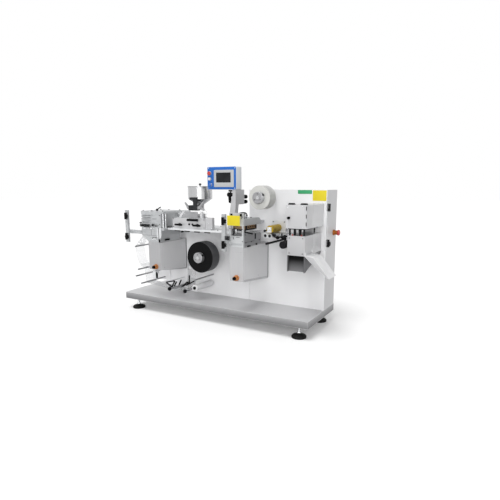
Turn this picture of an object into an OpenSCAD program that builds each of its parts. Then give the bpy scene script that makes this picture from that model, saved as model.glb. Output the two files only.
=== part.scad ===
// Blister packing machine: base tray, rear cabinet and three stations along one film lane.
// Lengths are millimetres. Inside the modules x runs from the base's left end,
// y from its front edge and z from its top face.

/* [Base] */
// Length of the base tray
base_len = 1600; // [1560:5:1700]
// Depth of the base tray
base_depth = 515; // [490:5:560]
// Height of the base tray
base_h = 50; // [35:1:80]
// Height of the levelling feet, floor to tray
foot_h = 85; // [70:1:110]
// Diameter of a foot pad
foot_d = 100; // [80:1:120]
// Diameter of a foot's stud
stud_d = 18; // [14:1:24]
// Distance of a foot from the tray's ends
foot_inset_x = 85; // [70:1:120]
// Distance of a foot from the tray's front and back
foot_inset_y = 60; // [55:1:90]

/* [Cabinet] */
// Distance of the cabinets' front wall from the tray's back
cab_depth = 222; // [200:1:240]
// Length of the tall cabinet at the right
tall_len = 597; // [570:1:620]
// Height of the tall cabinet over the tray
tall_h = 830; // [800:5:900]
// Left end of the low cabinet from the tray's left end
low_x = 190; // [170:1:210]
// Radius of the cabinets' upright edges
cab_edge_r = 6; // [2:1:10]
// Ledge of the tray behind the cabinets
back_ledge = 8; // [6:1:12]

/* [Film lane] */
// Height of the film lane over the tray
lane_z = 548; // [530:1:560]
// Middle of the film lane from the tray's front edge
lane_y = 115; // [105:1:125]
// Width of the film
film_w = 100; // [80:1:110]
// Thickness of the film web
film_t = 0.8; // [0.5:0.1:1.2]
// Gap between the film and a turning roller or reel
film_gap = 0.4; // [0.3:0.1:0.6]
// Thickness of the track plate
plate_t = 14; // [10:1:18]
// Gap between the forming die and the track plate
plate_start = 3; // [2:1:10]
// Gap between the track plate and the sealing station
plate_gap = 15; // [8:1:24]
// Distance of the track plate's front edge from the tray's front
plate_front = 15; // [5:1:25]
// How far the track plate reaches over the low cabinet
plate_seat = 40; // [20:1:60]

/* [Station columns] */
// Left side of the forming column from the tray's left end
form_x = 298; // [290:1:310]
// Width of the forming column
form_w = 114; // [100:1:125]
// Reach of the forming station in front of the cabinet
form_reach = 318; // [305:1:330]
// Height of the forming column's top over the tray
form_top = 440; // [420:1:455]
// Distance of the sealing column from the tall cabinet's left side
seal_off = 52; // [46:1:60]
// Width of the sealing column
seal_w = 108; // [100:1:114]
// Reach of the sealing station in front of the cabinet
seal_reach = 359; // [345:1:370]
// Height of the sealing column's top over the tray
seal_top = 458; // [445:1:470]
// Height of the columns' lower front edge over the tray
col_low = 225; // [205:1:240]
// Drop of the columns' sloping underside towards the cabinet
col_drop = 38; // [20:1:50]
// Height of the adjusting bushes above the columns' lower edge
bush_rise = 24; // [22:1:40]
// Diameter of an adjusting bush
bush_d = 42; // [36:1:44]
// Diameter of an adjusting spindle's end
spindle_d = 19; // [14:1:24]
// Length of an adjusting bush
bush_len = 24; // [18:1:30]

/* [Forming station] */
// Overhang of the forming die left of its column
die_over_l = 65; // [50:1:75]
// Overhang of the forming die right of its column
die_over_r = 19; // [12:1:26]
// Length of the ledge on the die's right side
ledge_len = 24; // [20:1:30]
// Thickness of the ledge on the die's right side
ledge_t = 20; // [14:1:26]
// Height of the forming die's upright sides
die_side = 60; // [40:1:70]
// Reach of the forming station behind the film
form_behind = 35; // [28:1:42]
// Gap between the forming die and the block over it
form_gap = 8; // [6:1:12]
// Height of the forming block
form_block_h = 97; // [85:1:110]
// Thickness of the forming top plate
form_plate_t = 18; // [14:1:24]
// Number of cooling fins on the forming block
fin_count = 4; // [3:1:5]
// Pitch of the cooling fins
fin_pitch = 18; // [14:1:20]
// Height of the gap between cooling fins
fin_slot = 6; // [4:1:9]
// Depth of the gap between cooling fins
fin_depth = 14; // [8:1:20]
// Length of the cooling fins
fin_len = 100; // [80:1:110]
// Diameter of the guide pillars
pillar_d = 12; // [10:1:14]

/* [Feeder] */
// Distance of the feeder from the track plate's left end
feed_off = 37; // [30:1:44]
// Length of the feeder body
feed_len = 295; // [280:1:300]
// Distance of the feeder's front from the track plate's front edge
feed_inset = 15; // [8:1:20]
// Depth of the feeder body under the hopper
feed_d = 124; // [120:1:132]
// Depth of the feeder's front part, which reaches to the control box
feed_face_d = 36; // [34:1:44]
// Height of the feeder body
feed_h = 78; // [70:1:90]
// Headroom of the film channel under the feeder
feed_room = 3; // [2:0.5:5]
// Length of the control box beside the feeder
side_box_len = 58; // [48:1:66]
// Set-back of the control box from the feeder's front
side_box_back = 6; // [4:1:6]
// Depth of the control box beside the feeder
side_box_d = 28; // [24:1:28]
// Height of the feeder's clear hood
hood_h = 57; // [50:1:62]
// Slope of the hood's ends, measured along the lane
hood_slope = 57; // [50:1:64]
// Wall of the clear hood
hood_wall = 4; // [3:0.5:6]
// Length of the vibrator bracket
vib_len = 72; // [64:1:80]
// Height of the vibrator bracket
vib_h = 81; // [76:1:90]
// Depth of the vibrator bracket's foot
vib_foot = 45; // [38:1:50]
// Thickness of the vibrator bracket's upright
vib_t = 12; // [10:1:14]
// Diameter of the hopper
hopper_d = 176; // [160:1:190]
// Height of the hopper's straight wall
hopper_h = 88; // [80:1:110]
// Height of the hopper's cone
cone_h = 42; // [34:1:52]
// Diameter of the hopper's outlet neck
neck_d = 56; // [46:1:66]
// Wall of the hopper
hopper_wall = 2; // [1.5:0.5:3]
// Middle of the hopper from the feeder's left side
hopper_off = 197; // [187:1:203]

/* [Sealing station] */
// Reach of the sealing station behind the film
seal_behind = 14; // [8:1:20]
// Drop of the sealing window's sill below the film lane
sill_drop = 18; // [14:1:24]
// Gap between the sealing die and the heated platen
seal_gap = 26; // [20:1:30]
// Thickness of the heated platen
platen_t = 24; // [18:1:30]
// Height of the sealing head
seal_head_h = 46; // [44:1:56]
// Radius of the sealing head's rear upper edge
seal_head_r = 40; // [30:1:44]
// How far the front frame stands above the sealing head
frame_rise = 38; // [24:1:44]
// Thickness of the sealing station's front frame
frame_t = 14; // [10:1:18]
// Width of the frame's uprights
frame_bar = 11; // [8:1:16]

/* [Operator panel] */
// Overhang of the panel beyond the track plate's right end
hmi_over = 24; // [16:1:30]
// Width of the panel
hmi_w = 232; // [220:1:240]
// Height of the panel
hmi_h = 152; // [140:1:165]
// Depth of the panel
hmi_d = 72; // [60:1:80]
// Height of the panel's lower edge over the tray
hmi_z = 832; // [820:1:850]
// Width of the post at the top
post_top_w = 24; // [20:1:30]
// Width of the post at the lane
post_low_w = 52; // [44:1:56]
// Depth of the post, front to back
post_d = 40; // [30:1:46]
// Depth of the cable box on the post
post_box_d = 116; // [100:1:125]
// Height of the cable box on the post
post_box_h = 100; // [85:1:115]

/* [Reels] */
// Middle of the film reel from the tray's left end
film_reel_x = 713; // [705:1:720]
// Height of the film reel's middle over the tray
film_reel_z = 336; // [330:1:345]
// Diameter of the film roll
film_roll_d = 230; // [215:1:240]
// Distance of the foil reel from the tall cabinet's left side
foil_off = 207; // [197:1:217]
// Drop of the foil reel's middle below the cabinet's top
foil_drop = 50; // [44:1:60]
// Diameter of the foil roll
foil_roll_d = 158; // [140:1:170]
// Width of the rolls
roll_w = 90; // [80:1:96]
// Diameter of the reel hubs
hub_d = 78; // [70:1:86]
// How far the hubs stand out in front of the rolls
hub_out = 27; // [22:1:36]
// Diameter of the reel spindles
spool_d = 24; // [20:1:30]
// Radial clearance of everything that turns on a shaft
run_gap = 0.05; // [0.03:0.01:0.08]

/* [Traction] */
// Distance of the traction roller from the tall cabinet's left side
trac_off = 294; // [287:1:302]
// Diameter of the traction roller
trac_d = 50; // [44:1:56]
// Diameter of the two guide rollers under the film at the traction roller
under_d = 30; // [24:1:32]
// Length of the traction roller
trac_len = 130; // [120:1:136]
// Distance of the pull roller from the tall cabinet's left side
pull_off = 387; // [381:1:393]
// Height of the pull roller's middle over the tray
pull_z = 476; // [466:1:486]
// Diameter of the pull roller
pull_d = 50; // [44:1:54]
// Drop of the guide rod below the film lane
guide_drop = 64; // [56:1:72]
// Diameter of the shafts that carry the rollers
shaft_d = 12; // [10:1:14]

/* [Guide rods] */
// Diameter of the guide rods
rod_d = 12; // [10:1:14]
// Distance of the guide rods' front ends from the tray's front edge
rod_front = 0; // [-6:1:12]
// Thickness of the plate that carries the left guide rods
rod_plate_t = 8; // [6:1:10]
// Diameter of the tension roller
tens_d = 50; // [44:1:56]
// Length of the tension roller
tens_len = 212; // [196:1:222]
// Length of the dancer arms
arm_len = 74; // [60:1:84]
// Width of the dancer arms
arm_w = 22; // [18:1:26]
// Thickness of the dancer arms
arm_t = 10; // [8:1:14]
// Distance of the dancer arms from the cabinet
arm_back = 30; // [20:1:50]
// Diameter of the ball knobs on the tension shafts
ball_d = 30; // [24:1:34]

/* [Cutting station] */
// Distance of the cutting die box from the tray's right end
cut_inset = 33; // [28:1:40]
// Length of the cutting die box
cut_len = 120; // [112:1:124]
// Height of the cutting die box
cut_h = 126; // [110:1:135]
// Distance of the die box's front from the cabinet
cut_reach = 293; // [280:1:298]
// Gap between the die box and the cutting head
cut_gap = 46; // [40:1:52]
// Height of the cutting head
cut_head_h = 147; // [130:1:160]
// Overhang of the cutting head at the front and ends
cut_head_over = 14; // [8:1:16]
// Depth of the outlet plates under the die box
outlet_drop = 106; // [90:1:120]
// Thickness of the outlet plates
outlet_t = 4; // [3:0.5:6]

/* [Discharge chute] */
// Reach of the chute beyond the tray's right end
chute_out = 130; // [100:1:140]
// Slope of the chute below level
chute_slope = 50; // [48:1:54]
// Drop of the chute's lower end below the die box
chute_drop = 128; // [120:1:132]
// Width of the chute
chute_w = 134; // [120:1:150]
// Thickness of the chute's sheet
chute_t = 3; // [2:0.5:5]

/* [Guards] */
// Thickness of the clear guard panels
guard_t = 5; // [4:0.5:6]
// Height of the lower edge of the guards over the tray
guard_low = 430; // [425:1:436]
// Height of the two front guards
guard_h = 240; // [225:1:250]
// Hinge line of the forming guard from the tray's left end
form_guard_x = 105; // [98:1:115]
// Width of the forming guard
form_guard_w = 325; // [310:1:335]
// Distance of the sealing guard's hinge line from the sealing column's left side
seal_guard_off = 29; // [26:1:35]
// Width of the sealing guard
seal_guard_w = 158; // [145:1:165]
// Distance of the front guards' hinge lines before their stations
guard_stand = 38; // [34:1:44]
// Height of the cutting guard
cut_guard_h = 325; // [305:1:335]
// Width of the cutting guard
cut_guard_w = 300; // [280:1:306]
// Width of the guard posts
post_w = 30; // [24:1:34]
// Depth of the guard posts
post_t = 15; // [12:1:18]
// Diameter of a hinge barrel
barrel_d = 16; // [14:1:18]
// Diameter of a hinge pin
pin_d = 6; // [5:0.5:8]
// Height of a hinge's middle barrel
barrel_h = 26; // [20:1:30]
// Height of a hinge's end barrels
knuckle_h = 12; // [8:1:16]
// Gap between the barrels of a hinge
barrel_gap = 0.4; // [0.3:0.1:0.6]
// Diameter of the clamp knob on a lower hinge
clamp_d = 30; // [24:1:32]

/* [Emergency stop] */
// Diameter of the emergency stop's head
stop_d = 40; // [36:1:44]
// Reach of the emergency stop
stop_out = 48; // [42:1:56]
// Height of the emergency stop over the tray
stop_z = 533; // [500:1:560]
// Distance of the emergency stop from the tray's back
stop_inset = 70; // [50:1:90]

/* [Handles] */
// Length of the feeder's bar handle
bar_len = 96; // [80:1:110]
// Length of the feeder's tee knobs
tee_len = 62; // [50:1:70]
// Diameter of the larger round knobs
knob_d = 18; // [14:1:22]
// Length of the latches on the cutting head
latch_len = 46; // [36:1:54]
// Height of the latches on the cutting head
latch_h = 10; // [6:1:14]

/* [Hidden] */
$fn = 48;
deck = foot_h + base_h;
eps = 0.01;

// Cabinet faces and the film lane's edges
wall_y = base_depth - cab_depth;
cab_back = base_depth - back_ledge;
tall_x = base_len - tall_len;
low_h = lane_z - plate_t;
film_y0 = lane_y - film_w / 2;
film_y1 = lane_y + film_w / 2;
film_top = lane_z + film_t;

// Stations along the lane
seal_x = tall_x + seal_off;
foil_reel_x = tall_x + foil_off;
foil_reel_z = tall_h - foil_drop;
trac_x = tall_x + trac_off;
pull_x = tall_x + pull_off;
cut_x = base_len - cut_inset - cut_len;

// Fronts and upper levels of the stations
form_front = wall_y - form_reach;
seal_front = wall_y - seal_reach;
die_x0 = form_x - die_over_l;
die_x1 = form_x + form_w + die_over_r;
ledge_x1 = die_x1 + ledge_len;
form_back = film_y1 + form_behind;
plate_x0 = ledge_x1 + plate_start;
plate_x1 = seal_x - plate_gap;
form_block_z = lane_z + form_gap;
form_plate_z = form_block_z + form_block_h;
form_roof = form_plate_z + form_plate_t;
platen_z = lane_z + seal_gap;
seal_head_z = platen_z + platen_t;
seal_roof = seal_head_z + seal_head_h;
seal_back = film_y1 + seal_behind;
seal_die_front = lerp(seal_front, seal_back, 0.2);
seal_sill = lane_z - sill_drop;
frame_top = seal_roof + frame_rise;
feed_x = plate_x0 + feed_off;
feed_front = plate_front + feed_inset;
feed_top = lane_z + feed_h;
hood_top = feed_top + hood_h;
hopper_x = feed_x + hopper_off;
hopper_z = hood_top + vib_h;
hopper_rim = hopper_z + hopper_h;
cut_front = wall_y - cut_reach;
cut_low = lane_z - cut_h;
cut_head_z = lane_z + cut_gap;
cut_roof = cut_head_z + cut_head_h;
hmi_x = plate_x1 + hmi_over - hmi_w;
trac_z = film_top + film_gap + trac_d / 2;
trac_y0 = lane_y - trac_len / 2;
trac_y1 = lane_y + trac_len / 2;

// Hinge lines of the guards, the back of their brackets being a barrel's reach behind
bracket_d = barrel_d / 2 + 4;
panel_start = barrel_d / 2 + 2;
hinge_h = barrel_h + 2 * (knuckle_h + barrel_gap);
form_hinge = [form_guard_x, form_front - guard_stand];
seal_hinge = [seal_x - seal_guard_off, seal_front - guard_stand];
cut_hinge = [base_len + bracket_d, wall_y + barrel_d];
hinge_inset = 16;
upper_hinge_z = guard_low + guard_h - hinge_inset - hinge_h;
lower_hinge_z = guard_low + hinge_inset;
cut_upper_hinge_z = guard_low + cut_guard_h - hinge_inset - hinge_h;
clamp_out = 10;
leaf_t = 4;
leaf_len = 30;

// Lower and upper end of the chute's slide, as x and z
chute_end = [base_len + chute_out, cut_low - chute_drop];
chute_head = chute_end + (chute_drop - chute_t) * [-1 / tan(chute_slope), 1];

// Right end of the feeder's deep part, just beyond the hopper's neck
feed_rear_x = hopper_x + neck_d / 2 + 8;

// The origin lies on the floor in the middle of the whole machine
front_reach = seal_hinge[1] - barrel_d / 2 - clamp_out;
origin_x = (base_len + chute_out) / 2;
origin_y = (front_reach + base_depth) / 2;

// Guide rods as x and z, with the two tension shafts and the rod over the tension roller
rod_in = [low_x - 112, 375];
rod_loop = [low_x - 37, 203];
rod_low = [low_x - 64, 146];
rod_turn = [low_x - 10, 92];
tens_shafts = [[film_reel_x - 278, 69], [film_reel_x - 127, 69]];
tens_pos = [film_reel_x - 45, 100];
tens_rod = [film_reel_x - 39, 163];
tens_front = rod_front + 48;
guide_pos = [trac_x, lane_z - guide_drop];
rod_plate_margin = 24;

function lerp(a, b, s) = a + (b - a) * s;
function unit(v) = v / norm(v);
function side(v) = [-v[1], v[0]];
function arc(c, r, a0, a1, n) = [for (i = [0:n]) c + r * [cos(a0 + (a1 - a0) * i / n), sin(a0 + (a1 - a0) * i / n)]];
function corner_side(p, i) =
    let (a = i > 0 ? unit(side(p[i] - p[i - 1])) : unit(side(p[1] - p[0])))
    let (b = i < len(p) - 1 ? unit(side(p[i + 1] - p[i])) : a)
    unit(a + b) / max(0.5, norm(a + b) / 2);
function ribbon(p, t) = concat(
    [for (i = [0:len(p) - 1]) p[i] + corner_side(p, i) * t / 2],
    [for (i = [len(p) - 1:-1:0]) p[i] - corner_side(p, i) * t / 2]);

// Moves a piece from the tray's front left corner to the part's own frame
module in_frame() {
    translate([-origin_x, -origin_y, deck]) children();
}

// A box between two corners
module block(a, b) {
    translate(a) cube(b - a);
}

// A round bar along y
module bar_y(x, z, d, y0, y1) {
    translate([x, y0, z]) rotate([-90, 0, 0]) cylinder(d = d, h = y1 - y0);
}

// A sleeve along y
module sleeve_y(x, z, d, bore, y0, y1) {
    translate([x, y0, z]) rotate([-90, 0, 0])
        difference() {
            cylinder(d = d, h = y1 - y0);
            translate([0, 0, -1]) cylinder(d = bore, h = y1 - y0 + 2);
        }
}

// An outline in x and z pulled along y
module pull_y(outline, y0, y1) {
    translate([0, y1, 0]) rotate([90, 0, 0]) linear_extrude(y1 - y0) polygon(outline);
}

// An outline in y and z pulled along x
module pull_x(outline, x0, x1) {
    translate([x0, 0, 0]) rotate([90, 0, 90]) linear_extrude(x1 - x0) polygon(outline);
}

// A box with rounded upright edges
module round_box(a, b, r) {
    size = b - a;
    translate(a) linear_extrude(size[2]) {
        translate([r, 0]) square([size[0] - 2 * r, size[1]]);
        translate([0, r]) square([size[0], size[1] - 2 * r]);
        for (x = [r, size[0] - r], y = [r, size[1] - r]) translate([x, y]) circle(r);
    }
}

module base_tray() {
    color("gainsboro")
        round_box([0, 0, -base_h], [base_len, base_depth, 0], cab_edge_r);
}

module foot() {
    pad_h = foot_h * 0.36;
    nut_h = 12;
    rotate_extrude() polygon([
        [0, 0], [foot_d / 2, 0], [foot_d / 2, pad_h * 0.45], [foot_d * 0.44, pad_h * 0.62],
        [foot_d * 0.24, pad_h * 0.8], [stud_d * 0.8, pad_h], [stud_d / 2, pad_h],
        [stud_d / 2, foot_h - nut_h], [stud_d * 0.85, foot_h - nut_h], [stud_d * 0.85, foot_h], [0, foot_h]]);
}

module levelling_feet() {
    color([0.1, 0.1, 0.1])
        for (x = [foot_inset_x, base_len - foot_inset_x], y = [foot_inset_y, base_depth - foot_inset_y])
            translate([x, y, -deck]) foot();
}

module tall_cabinet() {
    color("whitesmoke")
        round_box([tall_x, wall_y, 0], [base_len, cab_back, tall_h], cab_edge_r);
}

module low_cabinet() {
    m = rod_plate_margin;
    color("whitesmoke") {
        block([low_x, wall_y, 0], [tall_x, cab_back, low_h]);
        block([rod_in[0] - m, wall_y - rod_plate_t, rod_turn[1] - m],
              [low_x + m * 2, wall_y + eps, rod_in[1] + m]);
    }
}

// A housing in front of the cabinet with an underside that slopes to the wall
module column(x, w, front, top) {
    pull_x([[front, col_low], [wall_y, col_low - col_drop], [wall_y, top], [front, top]], x, x + w);
}

module forming_column() {
    color("silver") column(form_x, form_w, form_front, form_top);
}

module sealing_column() {
    color("silver") column(seal_x, seal_w, seal_front, seal_top);
}

// A flared bush on a column's front, with the spindle's end in it
module bush(x, front) {
    tip = 14;
    translate([x, front, col_low + bush_rise]) rotate([90, 0, 0]) {
        cylinder(d1 = bush_d, d2 = bush_d * 0.72, h = bush_len);
        cylinder(d = spindle_d, h = bush_len + tip);
    }
}

module column_bushes() {
    color("peru") {
        bush(form_x + form_w * 0.6, form_front);
        bush(seal_x + seal_w * 0.5, seal_front);
    }
}

module track_plate() {
    color("white")
        union() {
            block([plate_x0, plate_front, low_h], [plate_x1, wall_y, lane_z]);
            block([plate_x0, wall_y - 1, low_h], [tall_x, wall_y + plate_seat, lane_z]);
        }
}

module forming_lower_die() {
    color("silver")
        pull_y([
            [form_x, form_top], [form_x + form_w, form_top],
            [die_x1, lane_z - die_side], [die_x1, lane_z - ledge_t], [ledge_x1, lane_z - ledge_t],
            [ledge_x1, lane_z], [die_x0, lane_z], [die_x0, lane_z - die_side]],
            form_front, form_back);
}

module forming_block() {
    carrier_x = form_x + form_w / 2;
    carrier_top = form_roof - 8;
    color("silver") {
        difference() {
            block([die_x0, form_front, form_block_z], [die_x1, form_back, form_plate_z]);
            for (i = [0:fin_count - 1])
                block([die_x0 - 1, form_front - 1, form_plate_z - fin_pitch * (i + 1)],
                      [die_x0 + fin_len, form_front + fin_depth, form_plate_z - fin_pitch * (i + 1) + fin_slot]);
        }
        block([die_x0, form_front, form_plate_z], [ledge_x1, form_back, form_roof]);
        block([carrier_x, form_back, form_block_z], [die_x1, wall_y, carrier_top]);
        block([carrier_x, wall_y, low_h], [die_x1, wall_y + plate_seat, carrier_top]);
    }
}

module pillar(x, y, z0, z1) {
    translate([x, y, z0]) cylinder(d = pillar_d, h = z1 - z0);
}

module station_pillars() {
    inset = pillar_d;
    color([0.15, 0.15, 0.15]) {
        for (y = [form_front + inset, form_front + inset * 3.3, film_y1 + inset])
            pillar(die_x1 + inset * 0.8, y, lane_z, form_plate_z);
        for (x = [cut_x + inset, cut_x + cut_len - inset], y = [cut_front + inset, film_y1 + inset * 2])
            pillar(x, y, lane_z, cut_head_z);
    }
}

// A bar handle on two stand-offs, in front of a face
module front_handle(x, z, len, front) {
    grip = 9;
    out = 18;
    block([x - len / 2, front - out, z - grip / 2], [x + len / 2, front - out + grip, z + grip / 2]);
    for (s = [-1, 1])
        bar_y(x + s * (len / 2 - grip), z, grip * 0.8, front - out + grip / 2, front);
}

// A short stem with a cross bar, turned by hand
module tee_knob(x, z, len, front) {
    grip = 10;
    out = 22;
    bar_y(x, z, grip, front - out, front);
    translate([x - len / 2, front - out + grip / 2, z]) rotate([0, 90, 0]) cylinder(d = grip, h = len);
}

// A ratchet lever on a boss
module clamp_lever(x, y, z) {
    boss = 16;
    translate([x, y, z]) {
        cylinder(d = boss, h = boss);
        translate([0, 0, boss * 0.6]) rotate([0, 62, 0]) cylinder(d = boss * 0.5, h = boss * 2.6);
    }
}

// A round knob on a short stem, in front of a face
module round_knob(x, z, d, out, front) {
    bar_y(x, z, d * 0.5, front - out * 0.5, front);
    bar_y(x, z, d, front - out, front - out * 0.45);
}

// A low latch on a flat top, with sloping ends
module rounded_latch() {
    pull_y([[0, 0], [latch_len, 0], [latch_len * 0.86, latch_h], [latch_len * 0.14, latch_h]], 0, latch_len * 0.4);
}

module hand_knobs() {
    color([0.08, 0.08, 0.08]) {
        clamp_lever(form_x + form_w / 2, lerp(form_front, form_back, 0.2), form_roof);
        front_handle(die_x0 + fin_len / 2, form_block_z + knob_d * 0.6, fin_len * 0.8, form_front);
        round_knob(lerp(die_x0, die_x1, 0.64), form_block_z + knob_d * 0.6, knob_d, knob_d * 0.9, form_front);
        round_knob(lerp(die_x0, die_x1, 0.8), form_block_z + knob_d * 0.35, knob_d * 0.6, knob_d * 0.9, form_front);
        front_handle(feed_x + feed_len * 0.654, lerp(lane_z, feed_top, 0.8), bar_len, feed_front);
        for (s = [0.22, 0.78]) tee_knob(feed_x + feed_len * s, lerp(lane_z, feed_top, 0.36), tee_len, feed_front);
        round_knob(cut_x + knob_d, cut_head_z + cut_head_h * 0.45, knob_d, knob_d, cut_front - cut_head_over);
        for (x = [cut_x, cut_x + cut_len - latch_len * 0.8])
            translate([x, cut_front, cut_roof]) rounded_latch();
    }
}

module feeder_body() {
    box_front = feed_front + side_box_back;
    x1 = feed_x + feed_len;
    color("silver")
        difference() {
            union() {
                block([feed_x, feed_front, lane_z], [x1, feed_front + feed_face_d, feed_top]);
                block([feed_x, feed_front, lane_z], [feed_rear_x, feed_front + feed_d, feed_top]);
                block([x1, box_front, lane_z], [x1 + side_box_len, box_front + side_box_d, feed_top + 8]);
            }
            block([feed_x - 1, film_y0 - 3, lane_z - 1], [x1 + side_box_len + 1, film_y1 + 3, lane_z + feed_room]);
        }
}

// The hood's outer form, or its inside where a wall is given
module hood_form(x1, depth, wall, base) {
    pull_y([[feed_x + wall * 2, base], [x1 - wall, base], [x1 - wall, hood_top - wall],
            [feed_x + hood_slope + wall, hood_top - wall]],
           feed_front + wall, feed_front + depth - wall);
}

module feeder_hood() {
    x1 = feed_x + feed_len;
    color("lightblue", 0.5)
        difference() {
            union() {
                hood_form(x1, feed_face_d, 0, feed_top);
                hood_form(feed_rear_x, feed_d, 0, feed_top);
            }
            hood_form(x1, feed_face_d, hood_wall, feed_top - 1);
            hood_form(feed_rear_x, feed_d, hood_wall, feed_top - 1);
        }
}

// A foot on the hood's front, with an upright and a hook in front of the hopper
module vibrator_bracket() {
    x0 = hopper_x - vib_len * 0.47;
    x1 = x0 + vib_len;
    y0 = lane_y - hopper_d / 2 - vib_t - 1;
    up_w = vib_len * 0.42;
    up_x = x1 - up_w;
    foot_top = hood_top + vib_h * 0.45;
    hook_z = hopper_z - vib_t * 0.6;
    color([0.22, 0.22, 0.23]) {
        block([x0, y0, hood_top], [x1, y0 + vib_foot, foot_top]);
        block([up_x, y0, hood_top], [up_x + up_w, y0 + vib_t, hopper_z + vib_t]);
        block([lerp(x0, x1, 0.14), y0, hook_z], [up_x + eps, y0 + vib_t, hopper_z + vib_t]);
    }
}

module hopper() {
    r = hopper_d / 2;
    n = neck_d / 2;
    w = hopper_wall;
    low = -vib_h;
    color("lightgray")
        translate([hopper_x, lane_y, hopper_z]) rotate_extrude() polygon([
            [0, low], [n, low], [n, -cone_h], [r, 0], [r, hopper_h],
            [r - w, hopper_h], [r - w, w * 0.4], [n - w, -cone_h + w * 0.4],
            [n - w, low + w], [0, low + w]]);
}

module hopper_lid() {
    rim = 3;
    knob = 16;
    stem = 10;
    color("lightgray")
        translate([hopper_x, lane_y, hopper_rim]) {
            cylinder(d = hopper_d + 4, h = rim);
            cylinder(d = knob * 0.5, h = rim + stem);
            translate([0, 0, rim + stem]) sphere(d = knob);
        }
}

module sealing_lower_die() {
    color("darkgray") {
        block([seal_x, seal_front + frame_t, seal_top], [seal_x + seal_w, seal_back, seal_sill]);
        block([seal_x, seal_die_front, seal_sill - eps], [seal_x + seal_w, seal_back, lane_z]);
    }
}

module sealing_platen() {
    inset = 6;
    color("sienna")
        block([seal_x + inset, lerp(seal_front, seal_back, 0.16), platen_z],
              [seal_x + seal_w - inset, lerp(seal_front, seal_back, 0.76), seal_head_z]);
}

// The press head, carried by an arm from the cabinet behind the lane
module sealing_head() {
    r = seal_head_r;
    arm_inset = seal_w * 0.3;
    color("lightgray") {
        pull_x(concat([[seal_front + frame_t, seal_head_z], [seal_back, seal_head_z]],
                      arc([seal_back - r, seal_roof - r], r, 0, 90, 8),
                      [[seal_front + frame_t, seal_roof]]),
               seal_x, seal_x + seal_w);
        block([seal_x + arm_inset, seal_back - r, seal_head_z], [seal_x + seal_w - arm_inset, wall_y, seal_roof - r * 0.75]);
    }
}

// The front frame with its window on the film lane
module sealing_frame() {
    low = seal_top;
    groove_z = seal_top + 12;
    color("white")
        difference() {
            block([seal_x, seal_front, low], [seal_x + seal_w, seal_front + frame_t, frame_top]);
            block([seal_x + frame_bar, seal_front - 1, seal_sill],
                  [seal_x + seal_w - frame_bar, seal_front + frame_t + 1, seal_head_z]);
            block([seal_x + frame_bar, seal_front - 1, groove_z],
                  [seal_x + seal_w - frame_bar, seal_front + frame_t / 2, groove_z + frame_bar]);
        }
}

// A post that leans in towards the top, with the cable box behind it
module hmi_post() {
    x1 = hmi_x + hmi_w - 8;
    x_low = plate_x1 - post_low_w;
    y0 = plate_front;
    box_low = hmi_z - post_box_h;
    color("silver") {
        pull_y([[x_low, lane_z], [x_low + post_low_w, lane_z], [x1, box_low], [x1, hmi_z], [x1 - post_top_w, hmi_z]],
               y0, y0 + post_d);
        block([x1 - post_top_w, y0 + post_d - eps, box_low], [x1, y0 + post_box_d, hmi_z]);
    }
}

module hmi_case() {
    color([0.18, 0.41, 0.78])
        translate([0, plate_front - 6, hmi_z])
            pull_y([[hmi_x, 0], [hmi_x + hmi_w, 0], [hmi_x + hmi_w, hmi_h], [hmi_x, hmi_h]], 0, hmi_d);
}

module wall_shafts() {
    plate_y = wall_y - rod_plate_t;
    color("lightgray") {
        bar_y(rod_in[0], rod_in[1], rod_d, film_y0 - rod_d, plate_y);
        for (r = [rod_loop, rod_low, rod_turn]) bar_y(r[0], r[1], rod_d, rod_front, plate_y);
        for (r = concat(tens_shafts, [tens_rod, tens_pos])) bar_y(r[0], r[1], rod_d, tens_front, wall_y);
        bar_y(guide_pos[0], guide_pos[1], rod_d, rod_front, wall_y);
        for (r = [[film_reel_x, film_reel_z], [foil_reel_x, foil_reel_z]]) {
            bar_y(r[0], r[1], spool_d, film_y0 - hub_out + 8, wall_y);
            bar_y(r[0], r[1], spool_d * 2, film_y0 + roll_w + 2, film_y0 + roll_w + 14);
        }
        bar_y(pull_x, pull_z, shaft_d, film_y0, wall_y);
    }
}

// Film from the reel under the tension shafts, round the left rods and along the lane
module film_web() {
    off = film_t / 2 + film_gap;
    reel = [film_reel_x, film_reel_z];
    reel_r = film_roll_d / 2 + off;
    rod_r = rod_d / 2 + off;
    span = reel - tens_shafts[1];
    a = atan2(span[1], span[0]) - acos((rod_r + reel_r) / norm(span));
    lane = lane_z + film_t / 2;
    loop = [rod_loop[0] - rod_in[0] + rod_r, rod_in[1] - rod_loop[1] - rod_r];
    rise = [die_x0 - 1, lane] - rod_in;
    path = concat(
        [reel - reel_r * [cos(a), sin(a)]],
        arc(tens_shafts[1], rod_r, a, -90, 4),
        [tens_shafts[0] - [0, rod_r]],
        arc(rod_turn, rod_r, -90, -180, 4),
        arc(rod_loop, rod_r, 0, 80, 4),
        [for (s = [90:-10:10]) [rod_loop[0] - loop[0] * cos(s), rod_in[1] - loop[1] * sin(s)]],
        arc(rod_in, rod_r, 180, 90 + atan2(rise[1], rise[0]), 3),
        [[die_x0 - 1, lane]],
        [[cut_x + cut_len, lane]]);
    color("white", 0.5) pull_y(ribbon(path, film_t), film_y0, film_y1);
}

// Swing arms on the tension shafts, with ball knobs at the front
module dancer_arms() {
    color([0.1, 0.1, 0.1])
        for (s = tens_shafts) {
            difference() {
                translate([s[0], tens_front - ball_d * 0.3, s[1]]) sphere(d = ball_d);
                bar_y(s[0], s[1], rod_d + 2 * run_gap, tens_front, tens_front + ball_d);
            }
            translate([s[0], wall_y - arm_back, s[1]]) rotate([90, 0, 0])
                linear_extrude(arm_t) difference() {
                    union() {
                        circle(d = arm_w);
                        rotate(32) translate([-arm_len, -arm_w * 0.35]) square([arm_len, arm_w * 0.7]);
                    }
                    circle(d = rod_d + 2 * run_gap);
                }
        }
}

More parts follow.
